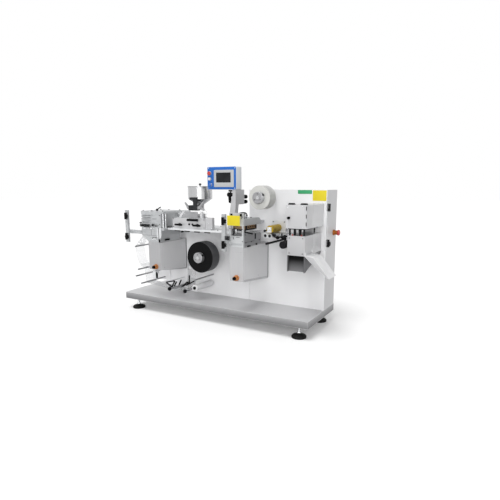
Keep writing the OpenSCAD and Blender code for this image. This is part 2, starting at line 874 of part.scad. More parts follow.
module tension_roller() {
    color("white")
        sleeve_y(tens_pos[0], tens_pos[1], tens_d, rod_d + 2 * run_gap, tens_front + 6, tens_front + 6 + tens_len);
}

// A wound roll on its hub
module roll(x, z, d) {
    sleeve_y(x, z, d, hub_d, film_y0, film_y0 + roll_w);
}

module hub(x, z) {
    sleeve_y(x, z, hub_d, spool_d + 2 * run_gap, film_y0 - hub_out, film_y0 + roll_w);
}

module film_roll() {
    color([0.1, 0.1, 0.1]) roll(film_reel_x, film_reel_z, film_roll_d);
}

module film_hub() {
    color("lightgray") hub(film_reel_x, film_reel_z);
}

module foil_roll() {
    color("whitesmoke") roll(foil_reel_x, foil_reel_z, foil_roll_d);
}

module foil_hub() {
    color("lightgray") hub(foil_reel_x, foil_reel_z);
}

module traction_roller() {
    color("goldenrod")
        sleeve_y(trac_x, trac_z, trac_d, shaft_d + 2 * run_gap, trac_y0, trac_y1);
}

// End plates and shaft of the traction roller, with the guide rollers under the film
module roller_brackets() {
    t = 8;
    gap = 1;
    top = trac_z + trac_d;
    half = trac_d * 0.4;
    nose = trac_d * 0.3;
    low = lane_z + 6;
    plate_y = trac_y1 + gap;
    under_z = lane_z - under_d / 2 - 2;
    color("whitesmoke") {
        block([trac_x - nose, trac_y0 - gap - t, low], [trac_x + nose, trac_y0 - gap, trac_z + nose]);
        block([trac_x - under_d * 1.6, plate_y, under_z - under_d / 2], [trac_x + trac_d * 1.1, plate_y + t, top]);
        block([trac_x - half, plate_y + t, trac_z - nose], [trac_x + half, wall_y, trac_z + nose]);
        for (x = [trac_x - under_d * 1.06, trac_x]) bar_y(x, under_z, under_d, trac_y0, plate_y);
        bar_y(trac_x, trac_z, shaft_d, trac_y0 - gap - t, plate_y + t);
    }
}

module pull_roller() {
    front = film_y0 - shaft_d;
    color([0.08, 0.08, 0.08])
        difference() {
            bar_y(pull_x, pull_z, pull_d, front, film_y1 + shaft_d);
            bar_y(pull_x, pull_z, shaft_d + 2 * run_gap, film_y0 - 1, film_y1 + shaft_d + 1);
        }
}

module cutting_die_box() {
    color("gainsboro")
        block([cut_x, cut_front, cut_low], [cut_x + cut_len, wall_y, lane_z]);
}

module cutting_head() {
    o = cut_head_over;
    color("whitesmoke")
        block([cut_x - o / 2, cut_front - o, cut_head_z], [cut_x + cut_len + o, wall_y, cut_roof]);
}

module outlet_plates() {
    low = cut_low - outlet_drop;
    foot = 14;
    flange = 6;
    x1 = cut_x + cut_len;
    color("silver") {
        block([cut_x, cut_front, low], [cut_x + outlet_t, wall_y, cut_low]);
        block([cut_x, cut_front, low], [cut_x + flange, cut_front + outlet_t, cut_low]);
        pull_x([[cut_front, low], [cut_front + foot, low], [wall_y, cut_low - foot], [wall_y, cut_low],
                [cut_front, cut_low]], x1 - outlet_t, x1);
        block([x1 - flange, cut_front, low], [x1, cut_front + outlet_t, cut_low]);
    }
}

// A sloping slide on two cheeks, fixed to the die box's side by their tabs
module discharge_chute() {
    x0 = cut_x + cut_len;
    y1 = cut_front + chute_w;
    tab = 16;
    lip = 15;
    back = [chute_t / sin(chute_slope), 0];
    knee = [x0 + chute_w * 0.28, cut_low - chute_drop * 0.28];
    cheek = [[x0, cut_low + tab / 3], [x0, cut_low], knee, chute_end + lip * [-1, 0.4], chute_end, chute_head];
    color("white") {
        pull_y([chute_head, chute_end, chute_end - back, chute_head - back], cut_front, y1);
        for (y = [cut_front, y1 - chute_t]) pull_y(cheek, y, y + chute_t);
        for (y = [cut_front, y1 - tab]) block([x0, y, cut_low], [x0 + chute_t, y + tab, cut_low + tab * 1.5]);
    }
}

module emergency_stop() {
    collar = stop_out * 0.55;
    head = 16;
    translate([base_len, base_depth - stop_inset, stop_z]) rotate([0, 90, 0])
        color("firebrick") {
            cylinder(d = stop_d * 0.9, h = collar);
            cylinder(d = stop_d * 0.6, h = stop_out - head / 2);
            translate([0, 0, stop_out - head]) cylinder(d = stop_d, h = head);
        }
}

// Lays a hinge piece at a hinge line, the panel running along +x and the bracket behind
module on_hinge(p, z) {
    translate([p[0], p[1], z]) children();
}

// Lays a hinge piece at the cabinet's right face, the panel running to the front
module on_side_hinge(z) {
    translate([cut_hinge[0], cut_hinge[1], z]) mirror([1, 1, 0]) children();
}

// End barrels, their foot and the pin of one hinge
module hinge_bracket() {
    for (z = [0, hinge_h - knuckle_h]) translate([0, 0, z]) {
        cylinder(d = barrel_d, h = knuckle_h);
        block([-barrel_d / 2, 0, 0], [barrel_d / 2, bracket_d, knuckle_h]);
    }
    cylinder(d = pin_d, h = hinge_h);
}

// Middle barrel and leaf of one hinge
module hinge_leaf() {
    front = -barrel_d / 2;
    translate([0, 0, knuckle_h + barrel_gap]) difference() {
        union() {
            cylinder(d = barrel_d, h = barrel_h);
            block([0, front, 0], [leaf_len, front + leaf_t, barrel_h]);
        }
        translate([0, 0, -1]) cylinder(d = pin_d + 2 * run_gap, h = barrel_h + 2);
    }
}

// A leaf with the round clamp knob of a lower hinge
module clamp_leaf() {
    hinge_leaf();
    bar_y(leaf_len - clamp_d * 0.4, hinge_h / 2, clamp_d, -barrel_d / 2 - clamp_out, -barrel_d / 2 + eps);
}

module guard_sheet(w, h) {
    y0 = -barrel_d / 2 + leaf_t;
    block([panel_start, y0, 0], [w, y0 + guard_t, h]);
}

// Upright bars of the two front guards, with the arms that hold them to the stations
module guard_posts() {
    arm_h = 26;
    arm_z = lane_z - die_side + 6;
    seal_arm_z = seal_top + 20;
    color("silver") {
        for (p = [form_hinge, seal_hinge])
            block([p[0] - post_w / 2, p[1] + bracket_d, guard_low - 4],
                  [p[0] + post_w / 2, p[1] + bracket_d + post_t, guard_low + guard_h + 4]);
        block([form_hinge[0] - post_w / 2, form_hinge[1] + bracket_d + post_t, arm_z],
              [die_x0, form_front + 20, arm_z + arm_h]);
        block([seal_hinge[0] - post_w / 2, seal_hinge[1] + bracket_d + post_t, seal_arm_z],
              [seal_x, seal_front + frame_t + 20, seal_arm_z + arm_h]);
    }
}

module guard_hinge_brackets() {
    color([0.08, 0.08, 0.08]) {
        for (p = [form_hinge, seal_hinge], z = [lower_hinge_z, upper_hinge_z]) on_hinge(p, z) hinge_bracket();
        for (z = [lower_hinge_z, cut_upper_hinge_z]) on_side_hinge(z) hinge_bracket();
    }
}

module forming_guard_panel() {
    color("lightblue", 0.4) on_hinge(form_hinge, guard_low) guard_sheet(form_guard_w, guard_h);
}

module forming_guard_leaves() {
    color([0.08, 0.08, 0.08]) {
        on_hinge(form_hinge, lower_hinge_z) clamp_leaf();
        on_hinge(form_hinge, upper_hinge_z) hinge_leaf();
    }
}

module sealing_guard_panel() {
    color("lightblue", 0.4) on_hinge(seal_hinge, guard_low) guard_sheet(seal_guard_w, guard_h);
}

module sealing_guard_leaves() {
    color([0.08, 0.08, 0.08]) {
        on_hinge(seal_hinge, lower_hinge_z) clamp_leaf();
        on_hinge(seal_hinge, upper_hinge_z) hinge_leaf();
    }
}

module cutting_guard_panel() {
    color("lightblue", 0.4) on_side_hinge(guard_low) guard_sheet(cut_guard_w, cut_guard_h);
}

module cutting_guard_leaves() {
    color([0.08, 0.08, 0.08]) {
        on_side_hinge(lower_hinge_z) clamp_leaf();
        on_side_hinge(cut_upper_hinge_z) hinge_leaf();
    }
}

in_frame() base_tray();
in_frame() levelling_feet();
in_frame() tall_cabinet();
in_frame() low_cabinet();
in_frame() forming_column();
in_frame() sealing_column();
in_frame() column_bushes();
in_frame() track_plate();
in_frame() forming_lower_die();
in_frame() forming_block();
in_frame() station_pillars();
in_frame() hand_knobs();
in_frame() feeder_body();
in_frame() feeder_hood();
in_frame() vibrator_bracket();
in_frame() hopper();
in_frame() hopper_lid();
in_frame() sealing_lower_die();
in_frame() sealing_platen();
in_frame() sealing_head();
in_frame() sealing_frame();
in_frame() hmi_post();
in_frame() hmi_case();
in_frame() wall_shafts();
in_frame() film_web();
in_frame() dancer_arms();
in_frame() tension_roller();
in_frame() film_roll();
in_frame() film_hub();
in_frame() foil_roll();
in_frame() foil_hub();
in_frame() traction_roller();
in_frame() roller_brackets();
in_frame() pull_roller();
in_frame() cutting_die_box();
in_frame() cutting_head();
in_frame() outlet_plates();
in_frame() discharge_chute();
in_frame() emergency_stop();
in_frame() guard_posts();
in_frame() guard_hinge_brackets();
in_frame() forming_guard_panel();
in_frame() forming_guard_leaves();
in_frame() sealing_guard_panel();
in_frame() sealing_guard_leaves();
in_frame() cutting_guard_panel();
in_frame() cutting_guard_leaves();
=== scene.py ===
"""Blister packing machine: its finishes and small fittings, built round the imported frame."""
import math
from itertools import product

import bmesh
import bpy
from mathutils import Matrix, Vector


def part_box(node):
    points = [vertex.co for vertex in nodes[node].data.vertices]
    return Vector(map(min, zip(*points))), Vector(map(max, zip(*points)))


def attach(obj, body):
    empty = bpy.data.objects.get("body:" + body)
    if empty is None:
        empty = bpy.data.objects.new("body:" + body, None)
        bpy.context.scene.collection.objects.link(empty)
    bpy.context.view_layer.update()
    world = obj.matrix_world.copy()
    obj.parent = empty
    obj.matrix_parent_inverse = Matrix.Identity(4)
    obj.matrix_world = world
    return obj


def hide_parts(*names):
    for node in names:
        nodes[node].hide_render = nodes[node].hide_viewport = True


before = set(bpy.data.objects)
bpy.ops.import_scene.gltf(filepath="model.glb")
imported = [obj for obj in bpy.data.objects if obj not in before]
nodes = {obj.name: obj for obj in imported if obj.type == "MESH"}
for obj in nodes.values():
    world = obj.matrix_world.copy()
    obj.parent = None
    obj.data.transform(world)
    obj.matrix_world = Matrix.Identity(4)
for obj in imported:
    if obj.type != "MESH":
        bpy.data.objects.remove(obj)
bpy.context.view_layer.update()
scene = bpy.context.scene
scene.view_settings.view_transform = "Standard"

# Places are millimetres from the tray: x from its left end, y from its front edge, z from its top
MM = 0.001
tray_low, tray_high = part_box("base_tray")
TRAY_CORNER = Vector((tray_low[0], tray_low[1], tray_high[2]))
TO_ROW = Matrix.Translation(TRAY_CORNER) @ Matrix.Scale(MM, 4)


def row(x, y, z):
    return TO_ROW @ Vector((x, y, z))


def span(node):
    """Lowest and highest corner of a CAD node, in tray millimetres."""
    low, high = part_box(node)
    return (Vector(low) - TRAY_CORNER) / MM, (Vector(high) - TRAY_CORNER) / MM


# Camera at the photograph's viewing angle
FRAME_PIXELS = 500
FOCAL_PIXELS = 416.77
SENSOR = 36
TURN = math.radians(29.485)
PITCH = math.radians(9.975)
EYE = (2531.3, -2397.6, 851.2)
back = Vector((math.sin(TURN) * math.cos(PITCH), -math.cos(TURN) * math.cos(PITCH), math.sin(PITCH)))
right = Vector((math.cos(TURN), math.sin(TURN), 0))
camera = bpy.data.objects.new("camera", bpy.data.cameras.new("camera"))
scene.collection.objects.link(camera)
camera.matrix_world = Matrix((right, back.cross(right), back)).transposed().to_4x4()
camera.matrix_world.translation = row(*EYE)
camera.data.sensor_width = SENSOR
camera.data.lens = SENSOR * FOCAL_PIXELS / FRAME_PIXELS
camera.data.shift_y = 0.02
scene.camera = camera


# Node helpers
def put(tree, kind, ins=None, **settings):
    """Adds a node; ins maps an input's name or number to a value or to a socket that feeds it."""
    node = tree.nodes.new(kind)
    for key, value in settings.items():
        setattr(node, key, value)
    for key, value in (ins or {}).items():
        if isinstance(value, bpy.types.NodeSocket):
            tree.links.new(value, node.inputs[key])
        else:
            node.inputs[key].default_value = value
    return node


def maths(tree, operation, a, b=0.0, clamp=False):
    return put(tree, "ShaderNodeMath", {0: a, 1: b}, operation=operation, use_clamp=clamp).outputs[0]


def between(tree, mask, low, high):
    """A value that runs from low to high as the mask runs from 0 to 1."""
    return put(tree, "ShaderNodeMapRange", {"Value": mask, "To Min": low, "To Max": high}).outputs[0]


def blend(tree, mask, low, high):
    """A colour that runs from low to high as the mask runs from 0 to 1."""
    node = put(tree, "ShaderNodeMix", {0: mask}, data_type="RGBA")
    for slot, value in ((6, low), (7, high)):
        if isinstance(value, bpy.types.NodeSocket):
            tree.links.new(value, node.inputs[slot])
        else:
            node.inputs[slot].default_value = (*value, 1.0)
    return node.outputs[2]


def new_group(name, inputs, outputs):
    tree = bpy.data.node_groups.new(name, "ShaderNodeTree")
    for socket, kind, value in inputs:
        made = tree.interface.new_socket(socket, in_out="INPUT", socket_type=kind)
        made.default_value = value
    for socket in outputs:
        tree.interface.new_socket(socket, in_out="OUTPUT", socket_type="NodeSocketFloat")
    return tree, tree.nodes.new("NodeGroupInput").outputs, tree.nodes.new("NodeGroupOutput").inputs


def place(tree, group, **values):
    node = tree.nodes.new("ShaderNodeGroup")
    node.node_tree = group
    for key, value in values.items():
        node.inputs[key].default_value = value
    return node.outputs


def own_place(tree):
    return put(tree, "ShaderNodeTexCoord").outputs["Object"]


def noise_of(tree, scale, detail):
    node = put(tree, "ShaderNodeTexNoise", {"Vector": own_place(tree), "Scale": scale, "Detail": detail})
    return node.outputs[0]


def vector(tree, operation, a, b):
    return put(tree, "ShaderNodeVectorMath", {0: a, 1: b}, operation=operation).outputs[0]


def part_of(tree, source, axis):
    return put(tree, "ShaderNodeSeparateXYZ", {0: source}).outputs[axis]


def face_way(tree, axis):
    """How far a face looks along an axis, from -1 to 1."""
    return part_of(tree, put(tree, "ShaderNodeNewGeometry").outputs["Normal"], axis)


def ramp(tree, value, low, high):
    """A mask that runs from 0 to 1 as the value runs from low to high."""
    ends = {"Value": value, "From Min": low, "From Max": high}
    return put(tree, "ShaderNodeMapRange", ends).outputs[0]


# Shared effects
def make_brushed_grain():
    """Fine streaks; the stretch is large across the streaks and small along them."""
    tree, ins, outs = new_group("brushed grain", [("Stretch", "NodeSocketVector", (4, 900, 900))],
                                ["Streak"])
    spread = vector(tree, "MULTIPLY", own_place(tree), ins["Stretch"])
    noise = put(tree, "ShaderNodeTexNoise", {"Vector": spread, "Scale": 1.0, "Detail": 3.0})
    tree.links.new(noise.outputs[0], outs["Streak"])
    return tree


def make_soft_clouding():
    """Broad, faint patches as on handled or hand-finished sheet."""
    tree, ins, outs = new_group("soft clouding", [("Density", "NodeSocketFloat", 6.0)], ["Cloud"])
    noise = noise_of(tree, ins["Density"], 4.0)
    tree.links.new(between(tree, noise, -0.6, 1.6), outs["Cloud"])
    return tree


def make_fine_speckle():
    """Small grain of moulded plastic, sprayed paint or rubber."""
    tree, ins, outs = new_group("fine speckle", [("Density", "NodeSocketFloat", 900.0)], ["Speck"])
    noise = noise_of(tree, ins["Density"], 2.0)
    tree.links.new(noise, outs["Speck"])
    return tree


def make_edge_mask():
    """A mask of the outer edges, broken up so that it isn't even."""
    tree, ins, outs = new_group("edge mask", [("Width", "NodeSocketFloat", 0.003)], ["Rub"])
    rounded = put(tree, "ShaderNodeBevel", {"Radius": ins["Width"]}, samples=4).outputs[0]
    straight = put(tree, "ShaderNodeNewGeometry").outputs["Normal"]
    facing = put(tree, "ShaderNodeVectorMath", {0: rounded, 1: straight}, operation="DOT_PRODUCT")
    turned = maths(tree, "SUBTRACT", 1.0, facing.outputs["Value"])
    edge = maths(tree, "MULTIPLY", turned, 7.0, clamp=True)
    noise = noise_of(tree, 45.0, 3.0)
    tree.links.new(maths(tree, "MULTIPLY", edge, between(tree, noise, 0.2, 1.0)), outs["Rub"])
    return tree


def make_settled_dust():
    """A faint veil on faces that look up."""
    tree, ins, outs = new_group("settled dust", [("Density", "NodeSocketFloat", 14.0)], ["Veil"])
    level = ramp(tree, face_way(tree, "Z"), 0.6, 0.95)
    noise = noise_of(tree, ins["Density"], 5.0)
    tree.links.new(maths(tree, "MULTIPLY", level, noise), outs["Veil"])
    return tree


def make_wound_layers():
    """Rings round a roll's axis, as the edges of wound film show them."""
    inputs = [("Centre", "NodeSocketVector", (0, 0, 0)), ("Rings", "NodeSocketFloat", 400.0)]
    tree, ins, outs = new_group("wound layers", inputs, ["Layer"])
    offset = vector(tree, "SUBTRACT", own_place(tree), ins["Centre"])
    flat = vector(tree, "MULTIPLY", offset, (1, 0, 1))
    reach = put(tree, "ShaderNodeVectorMath", {0: flat}, operation="LENGTH").outputs["Value"]
    count = maths(tree, "MULTIPLY", reach, ins["Rings"])
    noise = put(tree, "ShaderNodeTexNoise", {"W": count, "Scale": 1.0, "Detail": 4.0},
                noise_dimensions="1D")
    tree.links.new(noise.outputs[0], outs["Layer"])
    return tree


def make_knurl():
    """Crossed ridges round an axis along y."""
    inputs = [("Centre", "NodeSocketVector", (0, 0, 0)), ("Ridges", "NodeSocketFloat", 60.0),
              ("Pitch", "NodeSocketFloat", 2400.0)]
    tree, ins, outs = new_group("knurl", inputs, ["Ridge"])
    offset = vector(tree, "SUBTRACT", own_place(tree), ins["Centre"])
    parts = put(tree, "ShaderNodeSeparateXYZ", {0: offset}).outputs
    angle = maths(tree, "MULTIPLY", maths(tree, "ARCTAN2", parts["Z"], parts["X"]), ins["Ridges"])
    along = maths(tree, "MULTIPLY", parts["Y"], ins["Pitch"])
    one = maths(tree, "SINE", maths(tree, "ADD", angle, along))
    other = maths(tree, "SINE", maths(tree, "SUBTRACT", angle, along))
    tree.links.new(between(tree, maths(tree, "MAXIMUM", one, other), 0.0, 1.0), outs["Ridge"])
    return tree


def make_shade_fall():
    """A mask for painted shade that grows down a face, from a height over a drop, and leaves level faces
    out.
    """
    inputs = [("Top", "NodeSocketFloat", 0.135), ("Drop", "NodeSocketFloat", 0.05),
              ("Start", "NodeSocketFloat", 0.3)]
    tree, ins, outs = new_group("fall", inputs, ["Fall"])
    height = part_of(tree, own_place(tree), "Z")
    depth = maths(tree, "DIVIDE", maths(tree, "SUBTRACT", ins["Top"], height), ins["Drop"])
    noise = noise_of(tree, 5.0, 3.0)
    broken = maths(tree, "MULTIPLY", depth, between(tree, noise, 0.8, 1.2))
    upright = ramp(tree, maths(tree, "ABSOLUTE", face_way(tree, "Z")), 0.7, 0.3)
    fallen = maths(tree, "ADD", broken, ins["Start"], clamp=True)
    tree.links.new(maths(tree, "MULTIPLY", fallen, upright), outs["Fall"])
    return tree


def make_shaded_end():
    """A mask of the faces that look to the right end, a little uneven, for painted shade on that side."""
    tree, ins, outs = new_group("shaded end", [("Density", "NodeSocketFloat", 4.0)], ["End"])
    facing = ramp(tree, face_way(tree, "X"), 0.6, 0.9)
    noise = noise_of(tree, ins["Density"], 2.0)
    patchy = between(tree, noise, 0.85, 1.05)
    tree.links.new(maths(tree, "MULTIPLY", facing, patchy, clamp=True), outs["End"])
    return tree


BRUSHED_GRAIN = make_brushed_grain()
SHADED_END = make_shaded_end()
SHADE_FALL = make_shade_fall()
SOFT_CLOUDING = make_soft_clouding()
FINE_SPECKLE = make_fine_speckle()
EDGE_MASK = make_edge_mask()
SETTLED_DUST = make_settled_dust()
WOUND_LAYERS = make_wound_layers()
KNURL = make_knurl()


# Finishes
ALONG_X = (4, 900, 900)
ALONG_Y = (700, 5, 700)
UPRIGHT = (900, 900, 4)
DUST = (0.55, 0.54, 0.52)


def grey(level, tint=0.01):
    """A grey whose blue lies a little above its red and green."""
    return level, level, round(level + tint, 4)


def start(name):
    material = bpy.data.materials.new(name)
    material.use_nodes = True
    return material, material.node_tree, material.node_tree.nodes["Principled BSDF"]


def feed(tree, shader, colour, rough, height=None, depth=0.0):
    tree.links.new(colour, shader.inputs["Base Color"])
    tree.links.new(rough, shader.inputs["Roughness"])
    if height is not None:
        bump = put(tree, "ShaderNodeBump", {"Height": height, "Strength": 0.6, "Distance": depth})
        tree.links.new(bump.outputs[0], shader.inputs["Normal"])


def sheet_metal(name, low, high, rough, metal=1.0, stretch=ALONG_X, depth=0.00003, rub_and_sheen=0.35, patch=5.0,
                gloss=0.5, low_colour=None, fall=None, edge_w=0.0025):
    """Brushed or machined metal: streaks, faint patches, edges painted brighter (partly rubbed wear,
    partly a painted highlight) and, where a low colour is given, a painted shade tone down upright faces.
    """
    material, tree, shader = start(name)
    streak = place(tree, BRUSHED_GRAIN, Stretch=stretch)["Streak"]
    cloud = place(tree, SOFT_CLOUDING, Density=patch)["Cloud"]
    mask = maths(tree, "ADD", maths(tree, "MULTIPLY", streak, 0.7), maths(tree, "MULTIPLY", cloud, 0.3))
    edge = maths(tree, "MULTIPLY", place(tree, EDGE_MASK, Width=edge_w)["Rub"], rub_and_sheen)
    bright = [min(1.0, 1.25 * c) for c in high]
    shader.inputs["Specular IOR Level"].default_value = gloss
    plain = blend(tree, mask, low, high)
    if low_colour:
        plain = blend(tree, place(tree, SHADE_FALL, **fall)["Fall"], plain, low_colour)
    shader.inputs["Metallic"].default_value = metal
    feed(tree, shader, blend(tree, edge, plain, bright), between(tree, mask, rough + 0.07, rough - 0.07),
         streak, depth)
    return material


def painted(name, low, high, rough, rub_and_sheen_colour, rub_and_sheen=0.25, depth=0.00004, dust=0.12, gloss=0.4,
            side=None):
    """Sprayed paint: orange peel, faint patches, edges painted brighter (partly rubbed wear, partly a
    painted highlight), a little dust on top and, where side is given, painted shade on faces that look to
    the right end.
    """
    material, tree, shader = start(name)
    cloud = place(tree, SOFT_CLOUDING, Density=3.0)["Cloud"]
    peel = place(tree, FINE_SPECKLE, Density=420.0)["Speck"]
    edge = maths(tree, "MULTIPLY", place(tree, EDGE_MASK, Width=0.002)["Rub"], rub_and_sheen)
    veil = maths(tree, "MULTIPLY", place(tree, SETTLED_DUST, Density=12.0)["Veil"], dust)
    plain = blend(tree, cloud, low, high)
    if side:
        plain = blend(tree, place(tree, SHADED_END)["End"], plain, side)
    dusty = blend(tree, veil, plain, DUST)
    shader.inputs["Specular IOR Level"].default_value = gloss
    feed(tree, shader, blend(tree, edge, dusty, rub_and_sheen_colour),
         between(tree, cloud, rough - 0.05, rough + 0.06), peel, depth)
    return material


def moulded(name, low, high, rough, density=1100.0, depth=0.00005, rub_and_sheen_colour=None, rub_and_sheen=0.3, coat=0.0,
            gloss=0.5):
    """Moulded plastic or rubber with a fine grain and edges painted brighter, partly polished by handling
    and partly a painted highlight.
    """
    material, tree, shader = start(name)
    speck = place(tree, FINE_SPECKLE, Density=density)["Speck"]
    cloud = place(tree, SOFT_CLOUDING, Density=22.0)["Cloud"]
    edge = maths(tree, "MULTIPLY", place(tree, EDGE_MASK, Width=0.0015)["Rub"], rub_and_sheen)
    rub_and_sheen_tone = rub_and_sheen_colour or [min(1.0, 1.6 * c + 0.01) for c in high]
    shader.inputs["Coat Weight"].default_value = coat
    shader.inputs["Specular IOR Level"].default_value = gloss
    feed(tree, shader, blend(tree, edge, blend(tree, cloud, low, high), rub_and_sheen_tone),
         between(tree, speck, rough - 0.08, rough + 0.08), speck, depth)
    return material


def wound(name, low, high, outer, rough, centre, rings, metal=0.0):
    """A roll: rings on its flat faces and the smooth outer turn of the film round it."""
    material, tree, shader = start(name)
    layer = place(tree, WOUND_LAYERS, Centre=centre, Rings=rings)["Layer"]
    cloud = place(tree, SOFT_CLOUDING, Density=18.0)["Cloud"]
    mask = maths(tree, "ADD", maths(tree, "MULTIPLY", layer, 0.8), maths(tree, "MULTIPLY", cloud, 0.2))
    face = ramp(tree, maths(tree, "ABSOLUTE", face_way(tree, "Y")), 0.4, 0.7)
    colour = blend(tree, face, blend(tree, cloud, outer, [0.8 * c for c in outer]),
                   blend(tree, mask, low, high))
    shader.inputs["Metallic"].default_value = metal
    shader.inputs["Specular IOR Level"].default_value = 0.05
    feed(tree, shader, colour, between(tree, layer, rough - 0.1, rough + 0.1), layer, 0.0001)
    return material


def knurled(name, low, high, rough, centre):
    material, tree, shader = start(name)
    ridge = place(tree, KNURL, Centre=centre)["Ridge"]
    cloud = place(tree, SOFT_CLOUDING, Density=30.0)["Cloud"]
    mask = maths(tree, "ADD", maths(tree, "MULTIPLY", ridge, 0.7), maths(tree, "MULTIPLY", cloud, 0.3))
    shader.inputs["Metallic"].default_value = 0.4
    shader.inputs["Specular IOR Level"].default_value = 0.2
    feed(tree, shader, blend(tree, mask, low, high), between(tree, ridge, rough + 0.1, rough - 0.05),
         ridge, 0.0006)
    return material


def clear(name, tint, edge_tint, alpha, rough=0.06, turn=0.0):
    """Clear sheet whose cut edges, and faces that turn away, gather more colour."""
    material, tree, shader = start(name)
    edge = place(tree, EDGE_MASK, Width=0.004)["Rub"]
    if turn:
        away = put(tree, "ShaderNodeLayerWeight", {"Blend": 0.35}).outputs["Facing"]
        edge = maths(tree, "ADD", edge, maths(tree, "MULTIPLY", away, turn), clamp=True)
    cloud = place(tree, SOFT_CLOUDING, Density=8.0)["Cloud"]
    shader.inputs["Transmission Weight"].default_value = 0.9
    shader.inputs["IOR"].default_value = 1.3
    shader.inputs["Specular IOR Level"].default_value = 0.2
    feed(tree, shader, blend(tree, edge, tint, edge_tint),
         between(tree, cloud, rough - 0.03, rough + 0.03))
    body = maths(tree, "ADD", between(tree, cloud, alpha - 0.02, alpha + 0.02),
                 maths(tree, "MULTIPLY", edge, 0.4))
    tree.links.new(maths(tree, "MINIMUM", body, 1.0), shader.inputs["Alpha"])
    return material


def centre_of(node):
    low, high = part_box(node)
    return [(a + b) / 2 for a, b in zip(low, high)]


# Base steel: upright faces painted darker, more so lower down, as painted shade; its edges get a wide
# painted highlight.
BASE_STEEL = sheet_metal("base steel", grey(0.50), grey(0.60), 0.42, 0.25, rub_and_sheen=1.0, edge_w=0.006,
                         low_colour=grey(0.13, 0.005), fall={"Top": 0.135, "Drop": 0.11, "Start": 0.5})
# Painted shade for the cutting outlet: black at the top, growing lighter down the sheet.
OUTLET_SHADE = sheet_metal("outlet painted shade", grey(0.004, 0), grey(0.012, 0), 0.6, 0.0, gloss=0.05,
                           low_colour=grey(0.30), fall={"Top": 0.53, "Drop": 0.12, "Start": 0.0})
FRONT_STEEL = sheet_metal("forming column steel", grey(0.35), grey(0.46), 0.42, 0.3, UPRIGHT)
COLUMN_STEEL = sheet_metal("column steel", grey(0.42), grey(0.54), 0.42, 0.3, UPRIGHT)
BOX_STEEL = sheet_metal("box steel", grey(0.47), grey(0.57), 0.4, 0.3)
DIE_STEEL = sheet_metal("die box steel", grey(0.42), grey(0.52), 0.4, 0.3, UPRIGHT)
BRIGHT_STEEL = sheet_metal("bright steel", (0.55, 0.56, 0.57), (0.75, 0.76, 0.77), 0.2, 1.0, ALONG_Y,
                           0.00001)
HOPPER_STEEL = sheet_metal("hopper steel", grey(0.40), grey(0.60), 0.24, 1.0, (8, 8, 1200))
MACHINED = sheet_metal("machined aluminium", (0.39, 0.40, 0.41), (0.54, 0.55, 0.56), 0.36, 0.4)
WHITE_PLATE = sheet_metal("anodised plate", (0.64, 0.65, 0.66), (0.76, 0.77, 0.78), 0.4, 0.35)
SEAL_PLATE = sheet_metal("sealing plate", (0.50, 0.51, 0.52), (0.62, 0.63, 0.64), 0.4, 0.35)
BLACK_STEEL = sheet_metal("blacked steel", grey(0.006, 0.001), (0.016, 0.016, 0.018), 0.46, 0.0,
                          gloss=0.08)
DARK_STEEL = sheet_metal("dark tool steel", grey(0.13, 0.005), grey(0.24), 0.4, 0.4)
# Dark steel for the outlet plates: painted shade, as their faces sit in shadow.
SHADED_OUTLET_STEEL = sheet_metal("shaded outlet steel", grey(0.09, 0.005), grey(0.16, 0.005), 0.45, 0.2, gloss=0.2)
GREY_STEEL = sheet_metal("grey steel", grey(0.28), grey(0.42), 0.34, 0.5)
BRONZE = sheet_metal("turned bronze", (0.42, 0.15, 0.04), (0.62, 0.26, 0.09), 0.34, 0.5, (900, 40, 900))
PLATEN_BRONZE = sheet_metal("heated bronze", (0.14, 0.08, 0.035), (0.36, 0.22, 0.10), 0.4, 0.5,
                            (60, 25, 900))
# Lighter steel for the columns' right-facing side panels: painted light on those sides.
LIT_SIDE_STEEL = sheet_metal("lit side panel steel", grey(0.58), grey(0.70), 0.44, 0.15, UPRIGHT)
SHAFT_STEEL = sheet_metal("shaft steel", grey(0.20), grey(0.42), 0.3, 0.6, ALONG_Y, 0.00001)
HEAD_PAINT = painted("head paint", grey(0.53), grey(0.59), 0.42, grey(0.85, 0), 0.6)
BOX_PAINT = painted("box paint", grey(0.44), grey(0.52), 0.45, grey(0.75, 0), 0.5)
# Cabinet paint: faces that look to the right end are painted greyer, as painted shade on that side.
CABINET_PAINT = painted("cabinet paint", grey(0.76), grey(0.81), 0.42, grey(0.88, 0),
                        side=grey(0.56))
PALE_PAINT = painted("pale paint", grey(0.80), grey(0.85), 0.42, grey(0.88, 0))
CASE_PAINT = painted("case paint", (0.62, 0.65, 0.68), (0.70, 0.73, 0.76), 0.42, (0.84, 0.86, 0.88), 0.6)
GRAPHITE = painted("graphite paint", (0.022, 0.023, 0.025), (0.038, 0.039, 0.042), 0.5, grey(0.12, 0),
                   dust=0.03, gloss=0.1)
BLUE_PAINT = painted("blue paint", (0.008, 0.10, 0.40), (0.014, 0.14, 0.52), 0.4, (0.10, 0.30, 0.7))
YELLOW_PLATE = painted("yellow plate", (0.62, 0.50, 0.012), (0.74, 0.61, 0.02), 0.45, (0.85, 0.75, 0.3))
GREEN_PLATE = painted("green plate", (0.03, 0.30, 0.12), (0.05, 0.38, 0.16), 0.4, (0.2, 0.5, 0.3))
BLACK_PLASTIC = moulded("black plastic", grey(0.003, 0), grey(0.007, 0.001), 0.5, rub_and_sheen=0.15, gloss=0.05)
WHITE_PLASTIC = moulded("white plastic", grey(0.62), grey(0.72), 0.38, rub_and_sheen_colour=grey(0.8, 0))
RED_PLASTIC = moulded("red plastic", (0.36, 0.012, 0.012), (0.50, 0.025, 0.022), 0.3, coat=0.3)
AMBER_PLASTIC = moulded("amber plastic", (0.26, 0.07, 0.01), (0.36, 0.12, 0.015), 0.4, gloss=0.2)
BLUE_PLASTIC = moulded("blue plastic", (0.02, 0.10, 0.42), (0.03, 0.15, 0.55), 0.32, coat=0.2)
